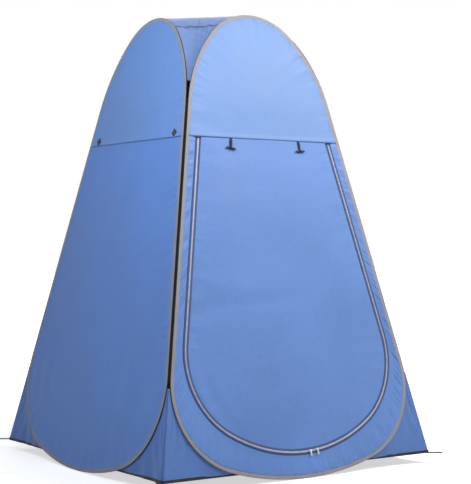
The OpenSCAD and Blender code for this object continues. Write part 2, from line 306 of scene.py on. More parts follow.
def resample(points: Array, spacing: float) -> Array:
    """A polyline's points set evenly along it, about spacing apart.

    Args:
        points: the polyline, one point to a row.
        spacing: the wanted distance between points.
    Returns:
        The new points, the first and last of them unmoved.
    """
    steps = np.linalg.norm(np.diff(points, axis=0), axis=1)
    along = np.concatenate([[0.0], np.cumsum(steps)])
    count = max(3, int(round(along[-1] / spacing)) + 1)
    at = np.linspace(0.0, along[-1], count)
    return np.stack([np.interp(at, along, points[:, i]) for i in range(points.shape[1])], axis=1)


def whole_loop(half: Array) -> Array:
    """A closed outline from its right half, anticlockwise, with no point given twice."""
    left = half[::-1] * np.array([-1.0, 1.0])
    return np.concatenate([half, left[1:-1]])


def outward(points: Array, closed: bool) -> Array:
    """Unit vectors square to an anticlockwise outline: its direction turned a quarter right."""
    if closed:
        along = np.roll(points, -1, axis=0) - np.roll(points, 1, axis=0)
    else:
        along = np.gradient(points, axis=0)
    along /= np.linalg.norm(along, axis=1, keepdims=True)
    return np.stack([along[:, 1], -along[:, 0]], axis=1)


# ---------------------------------------------------------------------------------------
# Surfaces
# ---------------------------------------------------------------------------------------


@dataclass
class Patch:
    """One grid of points with its own pattern coordinates, for a mesh of quads."""

    points: Array
    uv: Array
    wrap_rows: bool = False
    wrap_cols: bool = False

    def arrays(self, start: int) -> tuple[Array, Array, Array]:
        """The patch as flat arrays.

        Cell (i, j) joins points (i, j), (i, j+1), (i+1, j+1) and (i+1, j), the next index
        wrapping round where the patch is closed that way. The pattern coordinates carry
        one more row or column there, so that they don't run backwards over the join.

        Args:
            start: the index that the patch's first vertex gets in the mesh.
        Returns:
            Vertices, quads of vertex indices, and the pattern coordinates of each corner.
        """
        rows, cols = self.points.shape[:2]
        i = np.arange(rows if self.wrap_rows else rows - 1)[:, None]
        j = np.arange(cols if self.wrap_cols else cols - 1)[None, :]
        corners = [(i, j), (i, j + 1), (i + 1, j + 1), (i + 1, j)]
        quads = np.stack([(a % rows) * cols + b % cols for a, b in corners], axis=-1)
        uv = np.stack([self.uv[a, b] for a, b in corners], axis=-2)
        return self.points.reshape(-1, 3), quads.reshape(-1, 4) + start, uv.reshape(-1, 2)


def make_mesh(name: str, patches: list[Patch], merge: bool = False) -> bpy.types.Object:
    """A mesh object of quads from patches, smooth, with its pattern coordinates.

    Args:
        name: the object's name.
        patches: the grids that make it up.
        merge: joins vertices that lie on each other, where patches meet.
    Returns:
        The new object, at the origin.
    """
    vertices, quads, coords, start = [], [], [], 0
    for patch in patches:
        v, q, uv = patch.arrays(start)
        vertices.append(v)
        quads.append(q)
        coords.append(uv)
        start += len(v)
    points, faces = np.concatenate(vertices), np.concatenate(quads)
    mesh = bpy.data.meshes.new(name)
    mesh.vertices.add(len(points))
    mesh.vertices.foreach_set("co", points.astype(np.float32).ravel())
    mesh.loops.add(faces.size)
    mesh.loops.foreach_set("vertex_index", faces.astype(np.int32).ravel())
    mesh.polygons.add(len(faces))
    mesh.polygons.foreach_set("loop_start", np.arange(0, faces.size, 4, dtype=np.int32))
    mesh.polygons.foreach_set("use_smooth", np.ones(len(faces), dtype=bool))
    layer = mesh.uv_layers.new(name="UVMap")
    layer.data.foreach_set("uv", np.concatenate(coords).astype(np.float32).ravel())
    mesh.update(calc_edges=True)
    mesh.validate()
    if merge:
        shell = bmesh.new()
        shell.from_mesh(mesh)
        bmesh.ops.remove_doubles(shell, verts=shell.verts, dist=2e-5)
        shell.to_mesh(mesh)
        shell.free()
    obj = bpy.data.objects.new(name, mesh)
    bpy.context.scene.collection.objects.link(obj)
    return obj


def thicken(obj: bpy.types.Object, thickness: float, offset: float = 0.0) -> bpy.types.Object:
    """Gives a single layer of cloth its thickness, with its rim closed."""
    wall = obj.modifiers.new("thickness", "SOLIDIFY")
    wall.thickness = thickness
    wall.offset = offset
    wall.use_rim = True
    return obj


def carry(
    plan: TentPlan,
    side: Side,
    path: Array,
    profile: Array,
    closed: bool,
    lift: Callable[[Array, Array], Array] | None = None,
    profile_closed: bool = True,
) -> Patch:
    """A profile carried along a path that lies in a side's panel.

    The profile's first number runs out from the path in the panel, its second straight out
    of the panel. The patch's rows follow the path. No point goes below the ground.

    Args:
        plan: the tent's measurements.
        side: the side the path is on.
        path: the path's points, in the panel frame.
        profile: the profile's points, clockwise when seen along the path.
        closed: whether the path is a loop.
        lift: gives each point a further height from its distance along and around.
        profile_closed: whether the profile is a loop.
    Returns:
        The patch, its pattern coordinates in metres along the path and around the profile.
    """
    out = outward(path, closed)
    x = path[:, 0, None] + out[:, 0, None] * profile[None, :, 0]
    y = path[:, 1, None] + out[:, 1, None] * profile[None, :, 0]
    z = np.broadcast_to(profile[None, :, 1], x.shape).copy()
    ends = np.concatenate([path, path[:1]]) if closed else path
    ring = np.concatenate([profile, profile[:1]]) if profile_closed else profile
    along = np.concatenate([[0], np.cumsum(np.linalg.norm(np.diff(ends, axis=0), axis=1))])
    around = np.concatenate([[0], np.cumsum(np.linalg.norm(np.diff(ring, axis=0), axis=1))])
    if lift is not None:
        z += lift(along[: len(path), None], around[None, : len(profile)])
    points = plan.place(x, y, z, side)
    points[..., 2] = np.maximum(points[..., 2], 0.0)
    uv = np.stack(np.meshgrid(along, around, indexing="ij"), axis=-1)
    return Patch(points, uv, closed, profile_closed)


def rounded_box(half_w: float, low: float, high: float, power: float, count: int) -> Array:
    """A soft-cornered box profile: (|cos|^(2/p), |sin|^(2/p)) with its signs, stretched.

    Args:
        half_w: half the width.
        low: the profile's lowest height.
        high: the profile's greatest height.
        power: 2 for an ellipse, and more for squarer corners.
        count: the number of points.
    Returns:
        The profile, clockwise.
    """
    a = np.linspace(0.0, -2.0 * math.pi, count, endpoint=False)
    c, s = np.cos(a), np.sin(a)
    x = np.sign(c) * np.abs(c) ** (2.0 / power) * half_w
    z = (low + high) / 2 + np.sign(s) * np.abs(s) ** (2.0 / power) * (high - low) / 2
    return np.stack([x, z], axis=1)


def edge_distance(x: Array, y: Array, outline: Array) -> tuple[Array, Array]:
    """How far points are from an outline, and how far along it its nearest point is.

    Args:
        x: the points' first coordinates.
        y: the points' second coordinates.
        outline: the outline's points, a few millimetres apart.
    Returns:
        Distances from the outline, and distances along it, shaped like x.
    """
    flat = np.stack([x.ravel(), y.ravel()], axis=1)
    along = np.concatenate([[0], np.cumsum(np.linalg.norm(np.diff(outline, axis=0), axis=1))])
    near, best = np.zeros(len(flat)), np.zeros(len(flat))
    for block in np.array_split(np.arange(len(flat)), max(1, len(flat) // 4000)):
        gap = np.linalg.norm(flat[block, None, :] - outline[None, :, :], axis=2)
        pick = gap.argmin(axis=1)
        near[block] = along[pick]
        best[block] = gap[np.arange(len(block)), pick]
    return best.reshape(x.shape), near.reshape(x.shape)


# ---------------------------------------------------------------------------------------
# Shader groups and finishes
# ---------------------------------------------------------------------------------------


class Graph:
    """A node tree with short ways to add and join nodes."""

    def __init__(self, tree: bpy.types.NodeTree) -> None:
        """Args: tree: the tree to build in."""
        self.tree = tree

    def node(self, kind: str, **settings: object) -> bpy.types.Node:
        """A new node of a kind, with its properties set."""
        made = self.tree.nodes.new(kind)
        for key, value in settings.items():
            setattr(made, key, value)
        return made

    def join(self, source: bpy.types.NodeSocket, target: bpy.types.NodeSocket) -> None:
        """Links two sockets."""
        self.tree.links.new(source, target)

    def feed(self, target: bpy.types.NodeSocket, value: object) -> None:
        """Puts a socket, a number or a colour into a socket."""
        if isinstance(value, bpy.types.NodeSocket):
            self.join(value, target)
        else:
            target.default_value = value

    def math(self, operation: str, a: object, b: object = 0.0, c: object = 0.0) -> bpy.types.NodeSocket:
        """A Math node's result for up to three values."""
        made = self.node("ShaderNodeMath", operation=operation)
        for socket, value in zip(made.inputs, (a, b, c)):
            self.feed(socket, value)
        return made.outputs[0]

    def mix(self, factor: object, a: object, b: object) -> bpy.types.NodeSocket:
        """A colour between a and b."""
        made = self.node("ShaderNodeMix", data_type="RGBA")
        self.feed(made.inputs[0], factor)
        self.feed(made.inputs[6], a)
        self.feed(made.inputs[7], b)
        return made.outputs[2]

    def noise(self, vector: object, scale: float, detail: float = 3.0) -> bpy.types.NodeSocket:
        """Noise from 0 to 1 at a scale in cells a metre."""
        made = self.node("ShaderNodeTexNoise")
        self.feed(made.inputs["Vector"], vector)
        made.inputs["Scale"].default_value = scale
        made.inputs["Detail"].default_value = detail
        return made.outputs["Fac"]

    def ramp(self, value: object, low: float, high: float) -> bpy.types.NodeSocket:
        """A smooth step of value from low to high."""
        made = self.node("ShaderNodeMapRange", interpolation_type="SMOOTHSTEP")
        self.feed(made.inputs["Value"], value)
        made.inputs["From Min"].default_value = low
        made.inputs["From Max"].default_value = high
        return made.outputs["Result"]


def group_tree(
    name: str,
    inputs: list[tuple[str, str, object]],
    outputs: list[tuple[str, str]],
) -> tuple[bpy.types.NodeTree, bool]:
    """A shader group with named sockets, made once.

    Args:
        name: the group's name.
        inputs: each input's name, socket kind and default.
        outputs: each output's name and socket kind.
    Returns:
        The group's tree, and whether it still has to be filled.
    """
    found = bpy.data.node_groups.get(name)
    if found is not None:
        return found, False
    tree = bpy.data.node_groups.new(name, "ShaderNodeTree")
    for label, kind, default in inputs:
        socket = tree.interface.new_socket(name=label, in_out="INPUT", socket_type=kind)
        if default is not None:
            socket.default_value = default
    for label, kind in outputs:
        tree.interface.new_socket(name=label, in_out="OUTPUT", socket_type=kind)
    return tree, True


def weave_group() -> bpy.types.NodeTree:
    """Plain weave: crossed rows of threads, each row a sine of its distance over the pitch."""
    tree, fresh = group_tree(
        "weave",
        [
            ("Vector", "NodeSocketVector", None),
            ("Pitch", "NodeSocketFloat", 0.0008),
            ("Slub", "NodeSocketFloat", 0.3),
        ],
        [("Height", "NodeSocketFloat")],
    )
    if not fresh:
        return tree
    g = Graph(tree)
    ins, outs = g.node("NodeGroupInput"), g.node("NodeGroupOutput")
    split = g.node("ShaderNodeSeparateXYZ")
    g.join(ins.outputs["Vector"], split.inputs[0])
    turns = g.math("DIVIDE", 2.0 * math.pi, ins.outputs["Pitch"])
    warp = g.math("SINE", g.math("MULTIPLY", split.outputs[0], turns))
    weft = g.math("SINE", g.math("MULTIPLY", split.outputs[1], turns))
    threads = g.math("MULTIPLY", warp, weft)
    uneven = g.math("SUBTRACT", g.noise(ins.outputs["Vector"], 420.0, 2.0), 0.5)
    slub = g.math("MULTIPLY", uneven, ins.outputs["Slub"])
    g.join(g.math("ADD", g.math("MULTIPLY", threads, 0.5), slub), outs.inputs["Height"])
    return tree


def stitch_group() -> bpy.types.NodeTree:
    """A row of stitches: dashes along one coordinate, at one place on the other."""
    tree, fresh = group_tree(
        "stitch row",
        [
            ("Along", "NodeSocketFloat", 0.0),
            ("Across", "NodeSocketFloat", 0.0),
            ("Place", "NodeSocketFloat", 0.0),
            ("Length", "NodeSocketFloat", 0.004),
            ("Width", "NodeSocketFloat", 0.0008),
        ],
        [("Thread", "NodeSocketFloat"), ("Furrow", "NodeSocketFloat")],
    )
    if not fresh:
        return tree
    g = Graph(tree)
    ins, outs = g.node("NodeGroupInput"), g.node("NodeGroupOutput")
    off = g.math("ABSOLUTE", g.math("SUBTRACT", ins.outputs["Across"], ins.outputs["Place"]))
    near = g.math("SUBTRACT", 1.0, g.math("MINIMUM", g.math("DIVIDE", off, ins.outputs["Width"]), 1.0))
    wide = g.math("MULTIPLY", ins.outputs["Width"], 4.0)
    furrow = g.math("SUBTRACT", 1.0, g.math("MINIMUM", g.math("DIVIDE", off, wide), 1.0))
    phase = g.math("FRACT", g.math("DIVIDE", ins.outputs["Along"], ins.outputs["Length"]))
    dash = g.math("LESS_THAN", g.math("ABSOLUTE", g.math("SUBTRACT", phase, 0.5)), 0.36)
    g.join(g.math("MULTIPLY", near, dash), outs.inputs["Thread"])
    g.join(furrow, outs.inputs["Furrow"])
    return tree


def fade_group() -> bpy.types.NodeTree:
    """Broad unevenness of dye and coating: two noises, blended to one value about a half."""
    tree, fresh = group_tree(
        "uneven dye",
        [
            ("Vector", "NodeSocketVector", None),
            ("Broad", "NodeSocketFloat", 3.0),
            ("Fine", "NodeSocketFloat", 40.0),
        ],
        [("Value", "NodeSocketFloat")],
    )
    if not fresh:
        return tree
    g = Graph(tree)
    ins, outs = g.node("NodeGroupInput"), g.node("NodeGroupOutput")
    broad, fine = g.node("ShaderNodeTexNoise"), g.node("ShaderNodeTexNoise")
    for made, label in ((broad, "Broad"), (fine, "Fine")):
        g.join(ins.outputs["Vector"], made.inputs["Vector"])
        g.join(ins.outputs[label], made.inputs["Scale"])
        made.inputs["Detail"].default_value = 3.0
    most = g.math("MULTIPLY", broad.outputs["Fac"], 0.7)
    total = g.math("ADD", most, g.math("MULTIPLY", fine.outputs["Fac"], 0.3))
    g.join(total, outs.inputs["Value"])
    return tree


def rgb(red: int, green: int, blue: int) -> tuple[float, float, float, float]:
    """A display colour from 0 to 255 as the linear colour that a shader takes."""
    parts = [v / 255.0 for v in (red, green, blue)]
    linear = [v / 12.92 if v <= 0.04045 else ((v + 0.055) / 1.055) ** 2.4 for v in parts]
    return (linear[0], linear[1], linear[2], 1.0)


def shade(colour: tuple[float, ...], factor: float) -> tuple[float, float, float, float]:
    """A colour made lighter or darker by a factor."""
    return (colour[0] * factor, colour[1] * factor, colour[2] * factor, 1.0)


@dataclass(frozen=True)
class StitchRow:
    """A row of stitches on a piece: its place on one pattern coordinate, and its look."""

    place: float
    across_v: bool = True
    length: float = 0.0045
    width: float = 0.0009
    tone: float = 1.25


@dataclass(frozen=True)
class ClothFinish:
    """Coated polyester taffeta: fine weave with painted highlight on its raised threads, soft sheen, uneven
    dye, and sewn rows with painted shade in their furrows.
    """

    name: str
    colour: tuple[float, float, float, float]
    stitches: tuple[StitchRow, ...] = ()
    band_place: float | None = None
    band_width: float = 0.012
    band_tone: float = 0.8
    pitch: float = 0.0009
    roughness: float = 0.5
    sheen: float = 0.1
    bump: float = 0.25

    def build(self) -> bpy.types.Material:
        """The material, made once for each name."""
        found = bpy.data.materials.get(self.name)
        if found is not None:
            return found
        material = bpy.data.materials.new(self.name)
        material.use_nodes = True
        g = Graph(material.node_tree)
        shader = material.node_tree.nodes["Principled BSDF"]
        coords = g.node("ShaderNodeTexCoord")
        uv, place = coords.outputs["UV"], coords.outputs["Object"]
        split = g.node("ShaderNodeSeparateXYZ")
        g.join(uv, split.inputs[0])
        dye = g.node("ShaderNodeGroup", node_tree=fade_group())
        g.join(place, dye.inputs["Vector"])
        dye.inputs["Broad"].default_value = 2.6
        dye.inputs["Fine"].default_value = 55.0
        spread = g.ramp(dye.outputs["Value"], 0.35, 0.65)
        colour = g.mix(spread, shade(self.colour, 0.94), shade(self.colour, 1.06))
        weave = g.node("ShaderNodeGroup", node_tree=weave_group())
        g.join(uv, weave.inputs["Vector"])
        weave.inputs["Pitch"].default_value = self.pitch
        height = g.math("MULTIPLY", weave.outputs["Height"], 0.00012)
        # Painted highlight: the raised threads of the weave are made up to 6% lighter in colour, as if they
        # caught the light.
        thread_crest_highlight = g.ramp(weave.outputs["Height"], -0.6, 0.6)
        colour = g.mix(g.math("MULTIPLY", thread_crest_highlight, 0.06), colour, shade(self.colour, 1.35))
        for row in self.stitches:
            line = g.node("ShaderNodeGroup", node_tree=stitch_group())
            g.join(split.outputs[0 if row.across_v else 1], line.inputs["Along"])
            g.join(split.outputs[1 if row.across_v else 0], line.inputs["Across"])
            line.inputs["Place"].default_value = row.place
            line.inputs["Length"].default_value = row.length
            line.inputs["Width"].default_value = row.width
            # Painted shade: the cloth in each stitch row's furrow is darkened in colour, as if shaded in the
            # dent.
            colour = g.mix(g.math("MULTIPLY", line.outputs["Furrow"], 0.25), colour, shade(self.colour, 0.6))
            colour = g.mix(line.outputs["Thread"], colour, shade(self.colour, row.tone))
            furrow = g.math("MULTIPLY", line.outputs["Furrow"], -0.0009)
            thread = g.math("MULTIPLY", line.outputs["Thread"], 0.0005)
            height = g.math("ADD", height, g.math("ADD", furrow, thread))
        if self.band_place is not None:
            off = g.math("ABSOLUTE", g.math("SUBTRACT", split.outputs[1], self.band_place))
            band = g.math("SUBTRACT", 1.0, g.ramp(off, self.band_width / 2 - 0.001, self.band_width / 2))
            colour = g.mix(band, colour, shade(self.colour, self.band_tone))
        crumple = g.noise(place, 26.0, 4.0)
        height = g.math("ADD", height, g.math("MULTIPLY", crumple, 0.0011))
        g.join(colour, shader.inputs["Base Color"])
        rough = g.math("ADD", self.roughness - 0.06, g.math("MULTIPLY", spread, 0.12))
        g.join(rough, shader.inputs["Roughness"])
        shader.inputs["Sheen Weight"].default_value = self.sheen
        shader.inputs["Sheen Roughness"].default_value = 0.45
        shader.inputs["Specular IOR Level"].default_value = 0.2
        bump = g.node("ShaderNodeBump")
        bump.inputs["Strength"].default_value = self.bump
        bump.inputs["Distance"].default_value = 1.0
        g.join(height, bump.inputs["Height"])
        g.join(bump.outputs["Normal"], shader.inputs["Normal"])
        return material


@dataclass(frozen=True)
class TapeFinish:
    """Woven tape and webbing: ribs across its length with painted highlight on their crests and painted shade
    between them, and stitched edges with painted fold shade.
    """

    name: str
    colour: tuple[float, float, float, float]
    rib: float = 0.0016
    relief: float = 0.0003
    ridge_highlight_tone: float = 1.5
    edges: tuple[float, ...] = ()
    edge_stitch_shade_tone: float = 0.35
    edge_width: float = 0.0012
    roughness: float = 0.75
    herringbone: bool = False

    def build(self) -> bpy.types.Material:
        """The material, made once for each name."""
        found = bpy.data.materials.get(self.name)
        if found is not None:
            return found
        material = bpy.data.materials.new(self.name)
        material.use_nodes = True
        g = Graph(material.node_tree)
        shader = material.node_tree.nodes["Principled BSDF"]
        coords = g.node("ShaderNodeTexCoord")
        split = g.node("ShaderNodeSeparateXYZ")
        g.join(coords.outputs["UV"], split.inputs[0])
        along, across = split.outputs[0], split.outputs[1]
        if self.herringbone:
            zigzag = g.math("PINGPONG", across, 0.003)
            along = g.math("ADD", along, zigzag)
        rib = g.math("SINE", g.math("MULTIPLY", along, 2.0 * math.pi / self.rib))
        grain = g.math("SINE", g.math("MULTIPLY", across, 2.0 * math.pi / (self.rib * 0.6)))
        ridge = g.ramp(g.math("ADD", rib, g.math("MULTIPLY", grain, 0.4)), -1.0, 1.2)
        # Painted highlight and shade: the rib crests are made lighter and the troughs darker in colour,
        # following the ribs' relief.
        colour = g.mix(ridge, shade(self.colour, 0.72), shade(self.colour, self.ridge_highlight_tone))
        dye = g.node("ShaderNodeGroup", node_tree=fade_group())
        g.join(coords.outputs["Object"], dye.inputs["Vector"])
        dye.inputs["Broad"].default_value = 9.0
        dye.inputs["Fine"].default_value = 160.0
        spread = g.ramp(dye.outputs["Value"], 0.35, 0.65)
        colour = g.mix(g.math("MULTIPLY", spread, 0.4), colour, shade(self.colour, 0.8))
        height = g.math("MULTIPLY", ridge, self.relief)
        for edge in self.edges:
            off = g.math("ABSOLUTE", g.math("SUBTRACT", across, edge))
            # Stitched edges: each edge line is darkened partly by the stitching's own colour and partly as
            # painted shade where the tape folds; it is also sunk in height.
            dark = g.math("SUBTRACT", 1.0, g.ramp(off, self.edge_width * 0.5, self.edge_width))
            colour = g.mix(dark, colour, shade(self.colour, self.edge_stitch_shade_tone))
            height = g.math("SUBTRACT", height, g.math("MULTIPLY", dark, 0.0004))
        g.join(colour, shader.inputs["Base Color"])
        rough = g.math("ADD", self.roughness - 0.05, g.math("MULTIPLY", spread, 0.1))
        g.join(rough, shader.inputs["Roughness"])
        shader.inputs["Sheen Weight"].default_value = 0.15
        shader.inputs["Specular IOR Level"].default_value = 0.3
        bump = g.node("ShaderNodeBump")
        bump.inputs["Strength"].default_value = 0.6
        bump.inputs["Distance"].default_value = 1.0
        g.join(height, bump.inputs["Height"])
        g.join(bump.outputs["Normal"], shader.inputs["Normal"])
        return material


@dataclass(frozen=True)
class HardFinish:
    """Metal, lacquer, nylon or moulded plastic, with fine scratches and uneven polish."""

    name: str
    colour: tuple[float, float, float, float]
    metallic: float = 0.0
    roughness: float = 0.3
    coat: float = 0.0
    grain: float = 900.0
    relief: float = 0.00006
    spread: float = 0.12

    def build(self) -> bpy.types.Material:
        """The material, made once for each name."""
        found = bpy.data.materials.get(self.name)
        if found is not None:
            return found
        material = bpy.data.materials.new(self.name)
        material.use_nodes = True
        g = Graph(material.node_tree)
        shader = material.node_tree.nodes["Principled BSDF"]
        coords = g.node("ShaderNodeTexCoord")
        place = coords.outputs["Object"]
        dye = g.node("ShaderNodeGroup", node_tree=fade_group())
        g.join(place, dye.inputs["Vector"])
        dye.inputs["Broad"].default_value = 60.0
        dye.inputs["Fine"].default_value = self.grain
        value = g.ramp(dye.outputs["Value"], 0.3, 0.7)
        colour = g.mix(value, shade(self.colour, 1.0 - self.spread), shade(self.colour, 1.0 + self.spread))
        g.join(colour, shader.inputs["Base Color"])
        rough = g.math("ADD", self.roughness - 0.08, g.math("MULTIPLY", value, 0.16))
        g.join(rough, shader.inputs["Roughness"])
        shader.inputs["Metallic"].default_value = self.metallic
        shader.inputs["Coat Weight"].default_value = self.coat
        stretched = g.node("ShaderNodeMapping")
        stretched.inputs["Scale"].default_value = (1.0, 1.0, 0.08)
        g.join(place, stretched.inputs["Vector"])
        bump = g.node("ShaderNodeBump")
        bump.inputs["Strength"].default_value = 0.3
        bump.inputs["Distance"].default_value = 1.0
        scratches = g.noise(stretched.outputs["Vector"], self.grain, 2.0)
        g.join(g.math("MULTIPLY", scratches, self.relief), bump.inputs["Height"])
        g.join(bump.outputs["Normal"], shader.inputs["Normal"])
        return material


BLUE = rgb(98, 138, 210)
# Painted light: the cloth above the seam takes a lighter copy of the panel blue, standing in for the stronger
# light that falls on the upper panels.
BLUE_UPPER_LIT = rgb(107, 146, 210)
BLUE_SKIRT = rgb(88, 126, 196)
BLUE_ROOF = rgb(106, 130, 180)


@dataclass(frozen=True)
class Finishes:
    """Every finish on the tent, by the pieces that take it."""

    upper: ClothFinish = ClothFinish(
        "cloth above the seam",
        BLUE_UPPER_LIT,
        stitches=(StitchRow(1.3915), StitchRow(1.3965)),
    )
    lower: ClothFinish = ClothFinish("cloth below the seam", BLUE, stitches=(StitchRow(1.3805, tone=0.7),))
    skirt: ClothFinish = ClothFinish(
        "corner skirt cloth",
        BLUE_SKIRT,
        stitches=(StitchRow(0.0, across_v=False, tone=0.5, width=0.0016), StitchRow(0.0125, tone=1.3)),
    )
    roof: ClothFinish = ClothFinish(
        "roof cloth",
        BLUE_ROOF,
        stitches=(StitchRow(0.0575, tone=0.6), StitchRow(0.0475, tone=1.2)),
        band_place=0.0535,
        band_width=0.004,
        band_tone=0.3,
    )
    sleeve: TapeFinish = TapeFinish(
        "black hoop sleeve", rgb(24, 24, 29), rib=0.0012, relief=0.00012, ridge_highlight_tone=1.6
    )
    trim: TapeFinish = TapeFinish(
        "grey binding tape",
        rgb(152, 152, 162),
        rib=0.0034,
        relief=0.0003,
        ridge_highlight_tone=1.16,
        edges=(0.0020, 0.0160),
        edge_stitch_shade_tone=0.14,
        edge_width=0.0019,
    )
    hem: TapeFinish = TapeFinish(
        "black hem tape", rgb(22, 22, 26), rib=0.0016, ridge_highlight_tone=1.7, edges=(0.008,)
    )
    webbing: TapeFinish = TapeFinish(
        "black webbing", rgb(20, 20, 23), rib=0.0022, relief=0.0005, ridge_highlight_tone=2.0, herringbone=True
    )
    zip_tape: TapeFinish = TapeFinish(
        "zip tape",
        rgb(66, 88, 140),
        rib=0.0011,
        relief=0.0002,
        ridge_highlight_tone=1.25,
        edges=(0.0012,),
        edge_stitch_shade_tone=0.5,
    )
    ribbon: TapeFinish = TapeFinish(
        "navy ribbon", rgb(20, 26, 52), rib=0.0013, relief=0.0003, ridge_highlight_tone=1.4, edges=(0.0012, 0.0108)
    )
    coil: HardFinish = HardFinish(
        "silver zip coil", rgb(160, 166, 188), metallic=0.2, roughness=0.4, coat=0.1
    )
    chrome: HardFinish = HardFinish("polished slider metal", rgb(205, 205, 208), metallic=1.0, roughness=0.22)
    lacquer: HardFinish = HardFinish(
        "white lacquered pull", rgb(226, 226, 228), roughness=0.3, coat=0.5, spread=0.05
    )
    grommet: HardFinish = HardFinish("blackened eyelet ring", rgb(84, 84, 90), metallic=1.0, roughness=0.35)
    bar: HardFinish = HardFinish("moulded toggle plastic", rgb(14, 17, 34), roughness=0.5, relief=0.0001)
    steel: HardFinish = HardFinish("blued spring steel", rgb(120, 124, 132), metallic=1.0, roughness=0.34)
    ferrule: HardFinish = HardFinish("crimped ferrule steel", rgb(104, 104, 108), metallic=1.0, roughness=0.4)


# ---------------------------------------------------------------------------------------
# Sub-assemblies
# ---------------------------------------------------------------------------------------


@dataclass
class SubAssembly:
    """What every sub-assembly has: the plan, the finishes and its own made pieces."""

    plan: TentPlan
    finishes: Finishes
    made: list[bpy.types.Object] = field(default_factory=list)

    def dress(
        self,
        obj: bpy.types.Object,
        finish: ClothFinish | TapeFinish | HardFinish,
        slot: str,
        body: str | None = None,
        nodes: tuple[str, ...] = (),
    ) -> bpy.types.Object:
        """Gives a piece its finish, its body and the nodes it stands for.

        Args:
            obj: the piece.
            finish: its finish.
            slot: not used.
            body: the body it rides on, or nothing for a piece that rides on none.
            nodes: the model's nodes that it replaces.
        Returns:
            The piece.
        """
        obj.data.materials.clear()
        obj.data.materials.append(finish.build())
        if nodes:
            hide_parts(*nodes)
        if body is not None:
            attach(obj, body)
        self.made.append(obj)
        log.info("%s: %d faces, rides on %s", obj.name, len(obj.data.polygons), body or "two bodies")
        return obj


@dataclass
class HoopBinding(SubAssembly):
    """The black sleeve that holds a hoop's wire, and the grey tape sewn over its face."""

    spacing: float = 0.006
    profile_points: int = 18
    crown: float = 0.0007

    def build(self, side: Side) -> None:
        """Makes one side's sleeve and outer tape."""
        plan, key = self.plan, side.key
        loop = whole_loop(resample(plan.hoop_half(0.0), self.spacing))
        half = plan.sleeve_w / 2
        split = plan.sleeve_t / 2 - plan.trim_t
        seed = side.value

        def gather(along: Array, around: Array) -> Array:
            """Slight unevenness where the tape is drawn round the wire, 0.2 mm either way."""
            return 0.0002 * ripple(along, 0.021, seed + 3) * np.ones_like(around)

        box = rounded_box(half, -plan.sleeve_t / 2, split + 0.0004, 3.2, self.profile_points)
        sleeve = make_mesh(f"{key}_sleeve", [carry(plan, side, loop, box, True, gather)])
        self.dress(sleeve, self.finishes.sleeve, "sleeve_black", key, (f"{key}_hoop_sleeve",))
        t = np.linspace(-1.0, 1.0, 13)
        over = np.stack([half * t, split + plan.trim_t - self.crown * t**2 - 0.0004], axis=1)
        under = np.stack([half * t[::-1], np.full(13, split)], axis=1)
        section = np.concatenate([under, over])
        tape = make_mesh(f"{key}_binding", [carry(plan, side, loop, section, True, gather)])
        self.dress(tape, self.finishes.trim, "binding_grey", key, (f"{key}_hoop_trim",))


